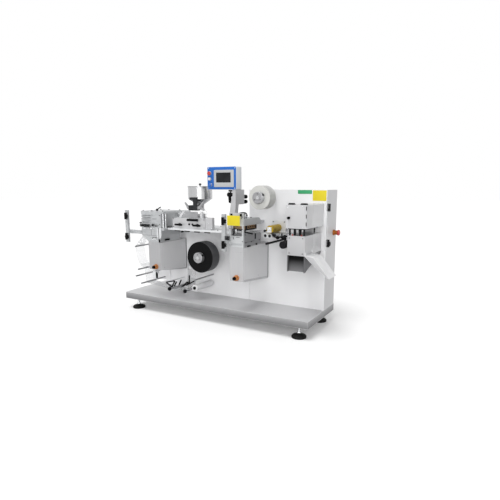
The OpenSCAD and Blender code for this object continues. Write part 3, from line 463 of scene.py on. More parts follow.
RUBBER = moulded("black rubber", grey(0.006, 0), grey(0.012, 0), 0.6, 700.0, 0.00012, gloss=0.1)
SCREEN = moulded("screen glass", (0.010, 0.011, 0.012), (0.020, 0.021, 0.024), 0.2, 60.0, 0.0,
                 gloss=0.15)
FILM_ROLL = wound("wound dark film", grey(0.002, 0), grey(0.010, 0.001), grey(0.10, 0.005), 0.4,
                  centre_of("film_roll"), 1400.0)
FOIL_ROLL = wound("wound foil", (0.50, 0.50, 0.47), (0.70, 0.70, 0.68), (0.55, 0.55, 0.54), 0.36,
                  centre_of("foil_roll"), 1400.0, 0.3)
GOLD = knurled("knurled gold", (0.20, 0.13, 0.004), (0.56, 0.38, 0.012), 0.4,
               centre_of("traction_roller"))
ACRYLIC = clear("clear acrylic", (0.93, 0.96, 0.97), (0.50, 0.58, 0.60), 0.07)
CLEAR_FILM = clear("clear film", grey(0.93), (0.46, 0.48, 0.50), 0.38, 0.12, 0.9)


# Dressing of the CAD nodes
SHARP_NODES = ("film_web",)
EDGE_SIZE = {"base_tray": 3.0, "tall_cabinet": 2.5, "low_cabinet": 2.0, "cutting_head": 2.5,
             "film_roll": 1.5}
PLAIN_EDGE = 0.8


def dress(name, material):
    """Gives a CAD node its finish and soft edges."""
    node = nodes[name]
    node.data.materials.clear()
    node.data.materials.append(material)
    if name in SHARP_NODES:
        return
    weld = node.modifiers.new("weld", "WELD")
    weld.merge_threshold = 0.00002
    bevel = node.modifiers.new("softened edges", "BEVEL")
    bevel.width = EDGE_SIZE.get(name, PLAIN_EDGE) * MM
    bevel.segments = 2
    bevel.limit_method = "ANGLE"
    bevel.angle_limit = math.radians(32)
    normal = node.modifiers.new("even shading", "WEIGHTED_NORMAL")
    normal.keep_sharp = True


NODE_FINISH = (
    (BASE_STEEL, "base_tray"),
    (CABINET_PAINT, "tall_cabinet"),
    (PALE_PAINT, "low_cabinet"),
    (FRONT_STEEL, "forming_column"),
    (COLUMN_STEEL, "sealing_column hmi_post"),
    (BRONZE, "column_bushes"),
    (WHITE_PLATE, "track_plate roller_brackets"),
    (MACHINED, "forming_lower_die forming_block sealing_head foil_hub guard_posts"),
    (BLACK_STEEL, "station_pillars"),
    (BLACK_PLASTIC, "hand_knobs dancer_arms guard_hinge_brackets forming_guard_leaves "
                    "sealing_guard_leaves cutting_guard_leaves"),
    (BOX_STEEL, "feeder_body"),
    (ACRYLIC, "feeder_hood forming_guard_panel sealing_guard_panel cutting_guard_panel"),
    (GRAPHITE, "vibrator_bracket"),
    (HOPPER_STEEL, "hopper hopper_lid"),
    (GREY_STEEL, "sealing_lower_die film_hub"),
    (PLATEN_BRONZE, "sealing_platen"),
    (SEAL_PLATE, "sealing_frame"),
    (SHAFT_STEEL, "wall_shafts"),
    (CLEAR_FILM, "film_web"),
    (WHITE_PLASTIC, "tension_roller discharge_chute"),
    (FILM_ROLL, "film_roll"),
    (FOIL_ROLL, "foil_roll"),
    (GOLD, "traction_roller"),
    (RUBBER, "pull_roller"),
    (DIE_STEEL, "cutting_die_box"),
    (HEAD_PAINT, "cutting_head"),
    (SHADED_OUTLET_STEEL, "outlet_plates"),
)
for material, names in NODE_FINISH:
    for name in names.split():
        dress(name, material)


# Mesh helpers
class Piece:
    """Solids in tray millimetres, joined into one piece that rides on a body."""

    def __init__(self, name, body="machine"):
        self.name = name
        self.body = body
        self.mesh = bmesh.new()
        self.finishes = []

    def take(self, solid, finish, soft=0.0, steps=2):
        """Softens a solid's edges, gives it a finish and adds it."""
        bmesh.ops.recalc_face_normals(solid, faces=solid.faces)
        if soft:
            sharp = [e for e in solid.edges if e.is_manifold and e.calc_face_angle(0.0) > 0.6]
            bmesh.ops.bevel(solid, geom=sharp, offset=soft, segments=steps, profile=0.5,
                            affect="EDGES", clamp_overlap=True)
        if finish not in self.finishes:
            self.finishes.append(finish)
        for face in solid.faces:
            face.material_index = self.finishes.index(finish)
        part = bpy.data.meshes.new("part")
        solid.to_mesh(part)
        solid.free()
        self.mesh.from_mesh(part)
        bpy.data.meshes.remove(part)

    def box(self, low, high, finish, soft=1.0, lean=None):
        """A block between two corners; lean is a matrix about its middle."""
        size = Vector(high) - Vector(low)
        middle = (Vector(high) + Vector(low)) / 2
        solid = bmesh.new()
        shape = Matrix.Translation(middle) @ (lean or Matrix()) @ Matrix.Diagonal((*size, 1))
        bmesh.ops.create_cube(solid, size=1.0, matrix=shape)
        self.take(solid, finish, soft)

    def rod(self, a, b, d, finish, soft=0.6, sides=28, d2=None):
        """A round bar from a to b, tapered where d2 is given."""
        a = Vector(a)
        run = Vector(b) - a
        turn = run.to_track_quat("Z", "Y").to_matrix().to_4x4()
        solid = bmesh.new()
        bmesh.ops.create_cone(solid, cap_ends=True, segments=sides, radius1=d / 2, radius2=(d2 or d) / 2,
                              depth=run.length, matrix=Matrix.Translation(a + run / 2) @ turn)
        self.take(solid, finish, soft)

    def turned(self, point, way, profile, finish, sides=36):
        """A profile of (distance along the way, radius) pairs, turned round the way."""
        turn = Vector(way).to_track_quat("Z", "Y").to_matrix().to_4x4()
        shape = Matrix.Translation(Vector(point)) @ turn
        solid = bmesh.new()
        rings = []
        for reach, r in profile:
            if r < 0.01:
                rings.append([solid.verts.new(shape @ Vector((0, 0, reach)))])
                continue
            angles = [2 * math.pi * i / sides for i in range(sides)]
            circle = [Vector((r * math.cos(t), r * math.sin(t), reach)) for t in angles]
            rings.append([solid.verts.new(shape @ spot) for spot in circle])
        for ring in (rings[0], rings[-1]):
            if len(ring) > 1:
                solid.faces.new(ring)
        for one, two in zip(rings, rings[1:]):
            for i in range(sides):
                j = (i + 1) % sides
                corners = [one[i % len(one)], one[j % len(one)], two[j % len(two)], two[i % len(two)]]
                solid.faces.new(list(dict.fromkeys(corners)))
        self.take(solid, finish)

    def slab(self, outline, axis, low, high, finish, soft=0.6, hole=None):
        """An outline across axis 0, 1 or 2, pulled from low to high, with a hole of as many corners."""
        def corner(p, level):
            spot = [p[0], p[1]]
            spot.insert(axis, level)
            return spot
        solid = bmesh.new()
        levels = [[[solid.verts.new(corner(p, level)) for p in loop] for level in (low, high)]
                  for loop in (outline, hole) if loop]
        for bottom, top in levels:
            for i in range(len(bottom)):
                j = (i + 1) % len(bottom)
                solid.faces.new((bottom[i], bottom[j], top[j], top[i]))
        for side in (0, 1):
            outer = levels[0][side]
            if not hole:
                solid.faces.new(outer)
                continue
            inner = levels[1][side]
            for i in range(len(outer)):
                j = (i + 1) % len(outer)
                solid.faces.new((outer[i], outer[j], inner[j], inner[i]))
        self.take(solid, finish, soft)

    def tube(self, points, d, finish, sides=14, steps=6):
        """A round bar along a smooth curve through points."""
        spots = [Vector(p) for p in points]
        ends = [2 * spots[0] - spots[1], *spots, 2 * spots[-1] - spots[-2]]
        path = []
        for a, b, c, e in zip(ends, ends[1:], ends[2:], ends[3:]):
            for k in range(steps):
                t = k / steps
                path.append(0.5 * (2 * b + (c - a) * t + (2 * a - 5 * b + 4 * c - e) * t * t
                                   + (3 * b - a - 3 * c + e) * t ** 3))
        path.append(spots[-1])
        solid = bmesh.new()
        rings = []
        for i, p in enumerate(path):
            way = path[min(i + 1, len(path) - 1)] - path[max(i - 1, 0)]
            turn = way.to_track_quat("Z", "Y").to_matrix()
            angles = [2 * math.pi * k / sides for k in range(sides)]
            circle = [Vector((d / 2 * math.cos(t), d / 2 * math.sin(t), 0)) for t in angles]
            rings.append([solid.verts.new(p + turn @ spot) for spot in circle])
        for one, two in zip(rings, rings[1:]):
            for i in range(sides):
                j = (i + 1) % sides
                solid.faces.new((one[i], one[j], two[j], two[i]))
        solid.faces.new(rings[0])
        solid.faces.new(rings[-1])
        self.take(solid, finish)

    def ball(self, point, d, finish, sides=28, bands=16):
        angles = [math.pi * k / bands for k in range(bands + 1)]
        arc = [(-d / 2 * math.cos(t), d / 2 * math.sin(t)) for t in angles]
        self.turned(point, UP, arc, finish, sides)

    def cap_screw(self, point, way, d=6.0, finish=None):
        """A socket head."""
        r = d / 2
        self.turned(point, way, [(-0.5, r), (r * 0.9, r), (r * 1.1, r * 0.85), (r * 1.1, r * 0.52),
                                 (r * 0.4, r * 0.48), (r * 0.4, 0)], finish or BLACK_STEEL, 18)

    def dome_screw(self, point, way, d=7.0, finish=None):
        """A low domed head with a small recess."""
        r = d / 2
        self.turned(point, way, [(-0.5, r), (r * 0.2, r), (r * 0.5, r * 0.75), (r * 0.6, r * 0.4),
                                 (r * 0.25, r * 0.3), (r * 0.25, 0)], finish or BRIGHT_STEEL, 18)

    def screws(self, xs, ys, zs, way, d, domed=False):
        """Socket or domed heads at every mix of the places."""
        for spot in product(xs, ys, zs):
            (self.dome_screw if domed else self.cap_screw)(spot, way, d)

    def hex_nut(self, point, way, across, height, finish):
        turn = Vector(way).to_track_quat("Z", "Y").to_matrix().to_4x4()
        solid = bmesh.new()
        shape = Matrix.Translation(Vector(point) + Vector(way).normalized() * height / 2) @ turn
        r = across / math.sqrt(3)
        bmesh.ops.create_cone(solid, cap_ends=True, segments=6, radius1=r, radius2=r, depth=height,
                              matrix=shape)
        self.take(solid, finish, across * 0.05)

    def done(self, slot, *replaced):
        data = bpy.data.meshes.new(self.name)
        bmesh.ops.transform(self.mesh, matrix=TO_ROW, verts=self.mesh.verts)
        self.mesh.to_mesh(data)
        self.mesh.free()
        for finish in self.finishes:
            data.materials.append(finish)
        data.shade_smooth()
        data.set_sharp_from_angle(angle=math.radians(40))
        piece = bpy.data.objects.new(self.name, data)
        scene.collection.objects.link(piece)
        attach(piece, self.body)
        if replaced:
            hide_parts(*replaced)
        return piece


def round_rect(u0, v0, u1, v1, r, steps=5):
    """Corners of a rectangle with rounded corners."""
    loop = []
    for cu, cv, first in ((u1 - r, v0 + r, -90), (u1 - r, v1 - r, 0), (u0 + r, v1 - r, 90),
                          (u0 + r, v0 + r, 180)):
        for k in range(steps + 1):
            t = math.radians(first + 90 * k / steps)
            loop.append((cu + r * math.cos(t), cv + r * math.sin(t)))
    return loop


def round_node(node):
    """Middle x and z, radius and front of a round CAD node along y."""
    low, high = span(node)
    return (low.x + high.x) / 2, (low.z + high.z) / 2, (high.x - low.x) / 2, low.y


# Outlines of the two columns' side panels as y and z
SIDE_FORM = [(-22, 224), (282, 198), (282, 434), (-22, 434)]
SIDE_SEAL = [(-62, 240), (283, 205), (283, 452), (-62, 452)]
# The left end of the low cabinet, and heights of the column bushes, guide rollers and film lane
LEFT_END = 190
BUSH_Z = 249
GUIDE_Z = 531
LANE_TOP = 548
TO_FRONT = (0, -1, 0)
TO_BACK = (0, 1, 0)
TO_RIGHT = (1, 0, 0)
TO_LEFT = (-1, 0, 0)
UP = (0, 0, 1)
# How far a fitting sinks into what carries it, and how far a thin cover stands out
SUNK = 0.5
COVER = 1.6


# Operator panel
def operator_panel():
    low, high = span("hmi_case")
    case = Piece("panel_case")
    face_t = 3
    outline = round_rect(low.x, low.z, high.x, high.z, 7)
    case.slab(outline, 1, low.y + face_t, high.y, CASE_PAINT, 1.2)
    case.slab(round_rect(low.x + 1, low.z + 1, high.x - 1, high.z - 1, 7), 1, low.y, low.y + face_t,
              BLUE_PAINT, 1)
    case.screws((low.x + 10, high.x - 10), (low.y,), (low.z + 10, high.z - 10), TO_FRONT, 6, True)
    cover = round_rect(low.x + 14, low.z + 14, high.x - 14, high.z - 14, 5)
    case.slab(cover, 1, high.y, high.y + 2, CASE_PAINT, 0.8)
    case.screws((low.x + 22, high.x - 22), (high.y + 2,), (low.z + 22, high.z - 22), TO_BACK, 6, True)
    for k in range(7):
        z = low.z + 52 + 8 * k
        case.box((low.x + 70, high.y + 1, z), (high.x - 70, high.y + 2.6, z + 3), BLACK_PLASTIC, 0.4)
    case.done("blue_panel", "hmi_case")

    bezel = Piece("panel_bezel")
    bezel.slab(round_rect(889, 849, 1048, 963, 5), 1, low.y - 4, low.y + SUNK, MACHINED, 1,
               hole=round_rect(907, 879, 1024, 945, 2))
    bezel.done("machined_aluminium")
    screen = Piece("panel_screen")
    screen.slab(round_rect(905, 877, 1026, 947, 2), 1, low.y - 2, low.y + 0.4, SCREEN, 0.3)
    screen.done("black_plastic")

    buttons = Piece("panel_buttons")
    for x, z, r, finish in ((853, 941, 14, RED_PLASTIC), (855, 903, 11, WHITE_PLASTIC),
                            (862, 864, 10, BLUE_PLASTIC)):
        buttons.turned((x, low.y, z), TO_FRONT, [(-1, r), (2, r), (3, r - 1), (3, r - 3), (0, r - 3)],
                       MACHINED)
        buttons.turned((x, low.y, z), TO_FRONT, [(0, r - 3.4), (8, r - 3.4), (9, r - 1), (13, r - 1),
                                                 (15, r - 3), (15.6, r - 6), (15.8, 0)], finish)
    buttons.done("red_plastic")

    post = Piece("post_clamp")
    y = span("hmi_post")[0].y
    post.turned((1036, y + 14, 798), TO_LEFT, [(-4, 12), (20, 12), (24, 16), (44, 16), (50, 12),
                                               (51, 0)], BLACK_PLASTIC)
    post.box((994, y - 1, 786), (1034, y + 16, 812), BLACK_PLASTIC, 4)
    post.tube([(1008, y + 6, 800), (1007, y + 5, 778), (1010, y + 4, 752)], 21, BLACK_PLASTIC)
    post.ball((1010, y + 4, 752), 22, BLACK_PLASTIC)
    post.rod((1012, y + 10, 808), (1012, y + 10, 824), 8, BLACK_STEEL)
    post.turned((1011, y + 8, 818), UP, [(0, 10), (3, 15), (8, 15), (11, 11), (12, 0)], BLACK_PLASTIC)
    post.done("black_plastic")

    glands = Piece("cable_box_glands")
    box_back = span("hmi_post")[1].y
    for z in (748, 782):
        glands.hex_nut((1044, box_back, z), TO_BACK, 22, 9, BLACK_PLASTIC)
        glands.turned((1044, box_back + 8, z), TO_BACK,
                      [(0, 9), (16, 9), (18, 14), (36, 14), (44, 9), (45, 0)], BLACK_PLASTIC)
    glands.screws((1056,), (122,), (738, 760, 804, 826), TO_RIGHT, 5, True)
    glands.done("black_plastic")


# Forming station
def forming_station():
    front = span("forming_block")[0].y
    grip = Piece("forming_grip")
    grip.box((236, front - 23, 552), (326, front - 10, 571), BLACK_PLASTIC, 4)
    for x in (250, 312):
        grip.rod((x, front - 14, 561), (x, front + 1, 561), 9, BLACK_STEEL)
    grip.rod((242, front - 16, 568), (242, front - 16, 580), 6, BLACK_STEEL)
    grip.turned((242, front - 16, 574), UP, [(0, 4), (3, 8), (9, 9), (13, 6), (14, 0)], BLACK_PLASTIC)
    grip.done("black_plastic")

    cover = Piece("forming_front_cover")
    cover.slab(round_rect(340, 566, 426, 648, 3), 1, front - 3, front + SUNK, MACHINED, 0.7)
    cover.box((346, front - 3.6, 612), (388, front - 2.5, 615), BLACK_STEEL, 0.3)
    cover.screws((347, 419), (front - 3,), (573, 641), TO_FRONT, 6)
    cover.done("machined_aluminium")

    bolts = Piece("forming_top_bolts")
    roof = span("forming_block")[1].z
    bolts.screws((246, 330, 438), (-12, 186), (roof,), UP, 9)
    bolts.done("black_steel")

    rail = Piece("forming_front_rail")
    rail.box((328, front - 2, 545), (432, front + SUNK, 560), MACHINED, 0.8)
    for x0, x1 in ((388, 404), (410, 428)):
        rail.box((x0, front - 5, 472), (x1, front + SUNK, 545), WHITE_PLATE, 1)
    rail.box((404, front - 1, 472), (410, front + SUNK, 545), BLACK_STEEL, 0.3)
    rail.box((236, front - 3, 536), (384, front + SUNK, 545), WHITE_PLATE, 1)
    rail.box((236, front - 1.5, 486), (384, front + SUNK, 489), DARK_STEEL, 0.3)
    rail.box((330, front - 1.5, 490), (333, front + SUNK, 536), DARK_STEEL, 0.3)
    # Five dark strips on the block's front: painted shade between the fins.
    for k in range(5):
        rail.box((238, front - 0.8, 590 + 11 * k), (322, front + SUNK, 593 + 11 * k), DARK_STEEL, 0.2)
    rail.screws((248, 290, 318, 350, 372), (front - 3,), (541,), TO_FRONT, 5)
    rail.done("machined_aluminium")

    sleeves = Piece("forming_pillar_sleeves")
    for y in (-13, 14.6, 177):
        sleeves.turned((440.6, y, 549), UP, [(0, 6.2), (0, 9), (8, 9), (9, 7.4), (96, 7.4), (97, 9),
                                             (103, 9), (103, 6.2)], BRIGHT_STEEL, 28)
    sleeves.done("polished_stainless")

    drawer = Piece("die_drawer")
    drawer.box((333, front - 4, 455), (386, front + 1, 470), BRIGHT_STEEL, 1.2)
    drawer.box((336, front - 1, 471), (386, front + 1, 475), BLACK_STEEL, 0.3)
    drawer.screws((340, 379), (front - 4,), (462,), TO_FRONT, 5)
    drawer.done("polished_stainless")

    latches = Piece("die_latches")
    latches.box((417, 22, 447), (428, 73, 459), BLACK_PLASTIC, 2.5)
    latches.box((404, front - 7, 438), (416, front + 1, 463), BLACK_PLASTIC, 2)
    latches.box((436, 14, 547), (455, 44, 553), BLACK_PLASTIC, 1.5)
    latches.done("black_plastic")

    panel = Piece("forming_column_side")
    side = span("forming_column")[1].x
    panel.box((side - SUNK, 284, 196), (side + 2, 293, 438), DARK_STEEL, 0.4)
    panel.slab(SIDE_FORM, 0, side - SUNK, side + COVER, LIT_SIDE_STEEL, 0.6)
    for y, z in ((12, 242), (256, 220), (12, 412), (256, 412)):
        panel.dome_screw((side + COVER, y, z), TO_RIGHT, 7)
    panel.done("brushed_stainless")


# Feeder and hopper
def feeder():
    front = span("feeder_body")[0].y
    top = span("feeder_hood")[0].z
    funnel = Piece("feeder_funnel")
    funnel.slab([(574, top + 1), (728, top + 1), (722, top + 46), (612, top + 46)], 1, 36, 39,
                GREY_STEEL, 0.8)
    funnel.slab([(548, top + 1), (568, top + 1), (604, top + 48), (586, top + 48)], 1, 36, 40,
                WHITE_PLASTIC, 0.8)
    funnel.box((742, 38, top + 2), (762, 56, top + 44), WHITE_PLASTIC, 2)
    funnel.box((512, 36, top + 0.2), (720, 144, top + 3), MACHINED, 0.8)
    funnel.box((720, 36, top + 0.2), (784, 60, top + 3), MACHINED, 0.8)
    funnel.box((768, 40, top + 3), (776, 58, top + 34), GREY_STEEL, 1)
    funnel.done("machined_aluminium")

    brush = Piece("feeder_brushes")
    for x in (590, 640, 690):
        brush.rod((x, 52, top + 16), (x, 138, top + 16), 22, WHITE_PLASTIC)
        brush.rod((x, 42, top + 16), (x, 144, top + 16), 7, BRIGHT_STEEL)
    brush.done("white_plastic")

    grips = Piece("feeder_grips")
    grips.box((640, front - 20, 608), (736, front - 8, 622), BLACK_PLASTIC, 4)
    for x0, x1 in ((529, 596), (692, 760)):
        grips.box((x0, front - 24, 569), (x1, front - 11, 583), BLACK_PLASTIC, 4)
        grips.turned(((x0 + x1) / 2, front, 576), TO_FRONT,
                     [(-1, 11), (6, 11), (8, 9), (14, 9), (14, 0)], BLACK_PLASTIC, 24)
    grips.done("black_plastic")

    studs = Piece("feeder_front_studs")
    for x in (650, 680):
        studs.turned((x, front, 581), TO_FRONT, [(-1, 7), (4, 7), (6, 5), (6, 3), (4, 3), (4, 0)],
                     BLACK_STEEL, 22)
    studs.screws((503, 782), (front,), (560, 618), TO_FRONT, 6)
    studs.box((495, front - 1.2, 622), (790, front + SUNK, 626), BRIGHT_STEEL, 0.5)
    studs.done("black_steel")

    box_high = span("feeder_body")[1]
    control = Piece("feeder_control_fittings")
    front_y = front + 6
    control.slab(round_rect(792, 551, box_high.x + 1.4, box_high.z - 1, 3), 1, front_y - 1.4,
                 front_y + SUNK, BOX_PAINT, 0.5)
    control.slab(round_rect(front_y, 551, front_y + 27, box_high.z - 1, 2), 0, box_high.x - SUNK,
                 box_high.x + 1.4, BOX_PAINT, 0.4)
    control.turned((812, front_y - 1.4, 592), TO_FRONT,
                   [(-0.4, 6), (1.4, 6), (2, 5), (2, 3), (1, 3), (1, 0)], BRIGHT_STEEL, 22)
    control.screws((798, 842), (front_y - 1.4,), (557, box_high.z - 7), TO_FRONT, 5, True)
    control.done("pale_paint")

    clips = Piece("hopper_clips")
    left_arm = [(659, 690), (659, 712), (644, 718), (626, 738), (619, 733), (634, 710), (640, 694)]
    right_arm = [(729, 690), (729, 712), (748, 716), (778, 746), (785, 739), (760, 708), (752, 692)]
    for arm in (left_arm, right_arm):
        clips.slab(arm, 1, 20, 32, GREY_STEEL, 0.8)
    clips.slab([(752, 704), (764, 712), (788, 690), (780, 684)], 1, 22, 30, GREY_STEEL, 0.8)
    for x, z in ((622, 736), (781, 743), (784, 687)):
        clips.ball((x, 26, z), 11, GREY_STEEL)
    clips.screws((666, 690), (14,), (690, 708), TO_FRONT, 7)
    clips.done("polished_stainless")

    low, high = span("hopper")
    centre = ((low.x + high.x) / 2, (low.y + high.y) / 2)
    r = (high.x - low.x) / 2
    rim = Piece("hopper_rim")
    bead = [(0, r - 0.5), (0, r + 1.5), (2, r + 2.4), (4, r + 1.5), (4, r - 0.5)]
    rim.turned((*centre, high.z - 6), UP, bead, HOPPER_STEEL, 64)
    swage = [(0, r - 0.6), (0, r + 0.6), (3, r + 0.8), (6, r + 0.6), (6, r - 0.6)]
    rim.turned((*centre, high.z - 88), UP, swage, HOPPER_STEEL, 64)
    rim.turned((*centre, high.z - 2.6), UP, [(0, r - 0.5), (0, r + 1.2), (2.4, r + 1.2), (2.4, r - 0.5)],
               RUBBER, 64)
    rim.turned((*centre, low.z), UP, [(0, 26), (0, 36), (5, 36), (6, 35), (6, 26)], BRIGHT_STEEL, 48)
    rim.box((centre[0] + r - 1, centre[1] - 4, high.z - 80),
            (centre[0] + r + 1, centre[1] + 4, high.z - 8), HOPPER_STEEL, 0.4)
    rim.done("polished_stainless")

    knob = Piece("hopper_lid_knob")
    knob.turned((*centre, high.z + 2), UP, [(0, 7), (5, 5), (8, 7), (13, 9.4), (18, 8.6), (21, 5),
                                            (21.6, 0)], BLACK_PLASTIC)
    knob.done("black_plastic")

    plate = Piece("track_plate_fittings")
    plate.screws((470, 848, 900, 950), (28,), (LANE_TOP,), UP, 7)
    plate.screws((520, 640, 760, 880, 1000), (280,), (LANE_TOP,), UP, 7)
    for x in (520, 610, 700, 790):
        plate.box((x, 18, 526), (x + 46, 30, 535), BLACK_STEEL, 1.5)
    plate.turned((600, 16, 527), TO_FRONT, [(-6, 5), (6, 5), (8, 7), (14, 7), (15, 5), (15, 0)],
                 BLACK_PLASTIC, 22)
    plate.done("black_steel")


# Sealing station
def sealing_station():
    low, high = span("sealing_frame")
    toggles = Piece("sealing_toggles")
    for x in (low.x + 10, high.x - 26):
        toggles.box((x, low.y - 3, high.z - 22), (x + 16, low.y + 1, high.z - 4), BLACK_PLASTIC, 1.5)
        toggles.rod((x + 8, low.y - 8, high.z - 13), (x + 8, low.y, high.z - 13), 8, BLACK_STEEL)
    x, top = high.x - 12, high.z
    for y0, y1 in ((low.y - 6, low.y + 26), (low.y + 34, low.y + 66)):
        arch = [(x, y0, top - 8), (x, (y0 + y1) / 2, top - 1), (x, y1, top - 6)]
        toggles.tube(arch, 5, BLACK_PLASTIC)
        toggles.rod((x, y0 + 8, top - 38), (x, y0 + 8, top - 4), 6, BLACK_STEEL)
        toggles.rod((x, y1 - 4, top - 38), (x, y1 - 4, top - 6), 5, BLACK_STEEL)
    toggles.done("black_plastic")

    window = Piece("sealing_window_parts")
    window.box((low.x + 14, -22, 560), (high.x - 12, -8, 574), BLACK_STEEL, 1)
    window.box((low.x + 12, -50, 531), (low.x + 24, -20, 578), BLACK_STEEL, 1.5)
    window.box((low.x + 26, -46, 531), (high.x - 14, -20, 540), DARK_STEEL, 1)
    for x in (low.x + 34, high.x - 24):
        window.rod((x, -36, 538), (x, -36, 572), 9, BRIGHT_STEEL)
    window.box((1107, low.y - 1, 521), (1135, low.y + 1, 526), DARK_STEEL, 0.6)
    window.box((1085, low.y - 3, 508), (1090, low.y + 1, 524), BLACK_STEEL, 0.8)
    window.done("black_steel")

    lock = Piece("sealing_guard_lock")
    lock.box((1036, -96, 504), (1064, -84, 530), GRAPHITE, 2)
    lock.box((1060, -97, 504), (1068, -83, 530), BLACK_PLASTIC, 1.5)
    lock.done("black_plastic")

    screws = Piece("sealing_frame_screws")
    screws.screws((low.x + 6, high.x - 6), (low.y,), (low.z + 40, low.z + 120, low.z + 200), TO_FRONT, 6)
    roof = span("sealing_head")[1].z
    screws.screws((low.x + 14, high.x - 14), (-30, 60), (roof,), UP, 9)
    screws.done("black_steel")

    hoses = Piece("sealing_air_elbows")
    x = 1088
    for y in (-20, 110):
        hoses.hex_nut((x, y, roof), UP, 14, 6, BRIGHT_STEEL)
        hoses.turned((x, y, roof + 6), UP, [(0, 6), (10, 6), (11, 5), (11, 0)], BLACK_PLASTIC, 20)
    bow = ((-20, 12), (-8, 28), (45, 34), (98, 28), (110, 12))
    hoses.tube([(x, y, roof + rise) for y, rise in bow], 8, BLACK_PLASTIC)
    hoses.done("black_plastic")

    side = span("sealing_column")[1].x
    die = Piece("sealing_die_fittings")
    die.box((side - 1, 88, 499), (side + 1.5, 104, 536), BLACK_STEEL, 0.6)
    die.box((side - 1, -18, 456), (side + 9, 18, 465), BLACK_PLASTIC, 2)
    die.box((side - 1, 102, 456), (side + 7, 116, 468), BLACK_PLASTIC, 2)
    slope = Matrix.Rotation(math.radians(-12), 4, "X")
    die.box((side - 4, -50, 543), (side + 3, 58, 553), BLACK_STEEL, 1.5, slope)
    die.box((side - 1, -52, 486), (side + 1.2, 84, 489), DARK_STEEL, 0.3)
    die.box((side - 8, -24, 566), (side - 2, 118, 575), BLACK_STEEL, 0.8)
    for y0, y1 in ((-27, -8), (108, 122)):
        die.box((side - 9, y0, 572), (side - 3, y1, 600), BLACK_STEEL, 1)
    die.screws((side,), (-36, 40, 150), (486,), TO_RIGHT, 7)
    die.screws((side - 6,), (10, 40, 70, 96), (587,), TO_RIGHT, 8)
    die.done("black_steel")

    panel = Piece("sealing_column_side")
    panel.slab(SIDE_SEAL, 0, side - SUNK, side + COVER, LIT_SIDE_STEEL, 0.6)
    panel.box((side - SUNK, 285, 196), (side + 2.5, 293, 456), DARK_STEEL, 0.4)
    for y, z in ((139, 236), (274, 218), (139, 438), (274, 438)):
        panel.dome_screw((side + COVER, y, z), TO_RIGHT, 7)
    panel.done("brushed_stainless")

    sign = Piece("sealing_guard_plate", "sealing_guard")
    face = span("sealing_guard_panel")[0].y
    sign.slab(round_rect(1066, 603, 1163, 668, 3), 1, face - 1.2, face, YELLOW_PLATE, 0.3)
    sign.done("pale_paint")


# Rear wall above the cutting station
def wall_plates():
    wall = span("tall_cabinet")[0].y
    plates = Piece("wall_plates")
    plates.slab(round_rect(1498, 757, 1595, 827, 3), 1, wall - 1.2, wall + SUNK, YELLOW_PLATE, 0.3)
    plates.slab(round_rect(1389, 803, 1492, 829, 3), 1, wall - 1.2, wall + SUNK, GREEN_PLATE, 0.3)
    plates.done("pale_paint")


# Reels
def reel_front(name, body, node):
    x, z, r, front = round_node(node)
    cap = Piece(name, body)
    cap.turned((x, front, z), TO_FRONT, [(-1, r - 1), (1.5, r - 1.5), (2.5, r - 3), (2.5, r - 9),
                                         (0.4, r - 10), (0.4, 18), (2.5, 17), (2.5, 13)], GREY_STEEL, 48)
    for k in range(3):
        t = math.radians(90 + 120 * k)
        cap.cap_screw((x + 24 * math.cos(t), front + 0.4, z + 24 * math.sin(t)), TO_FRONT, 8, DARK_STEEL)
        t += math.radians(60)
        jaw = Matrix.Rotation(-t, 4, "Y")
        middle = Vector((x + (r - 1) * math.cos(t), front + 14, z + (r - 1) * math.sin(t)))
        cap.box(middle - Vector((2.2, 11, 8)), middle + Vector((2.2, 11, 8)), BLACK_STEEL, 1, jaw)
    cap.done("machined_aluminium")


def reels():
    reel_front("film_hub_face", "film_reel", "film_hub")
    reel_front("foil_hub_face", "foil_reel", "foil_hub")
    ends = Piece("reel_spindle_ends")
    for node in ("film_hub", "foil_hub"):
        x, z, _, front = round_node(node)
        ends.turned((x, front + 8, z), TO_FRONT, [(-2, 11), (9, 11), (11, 9), (11, 4), (8, 3.6), (8, 0)],
                    BRIGHT_STEEL)
    ends.done("polished_stainless")


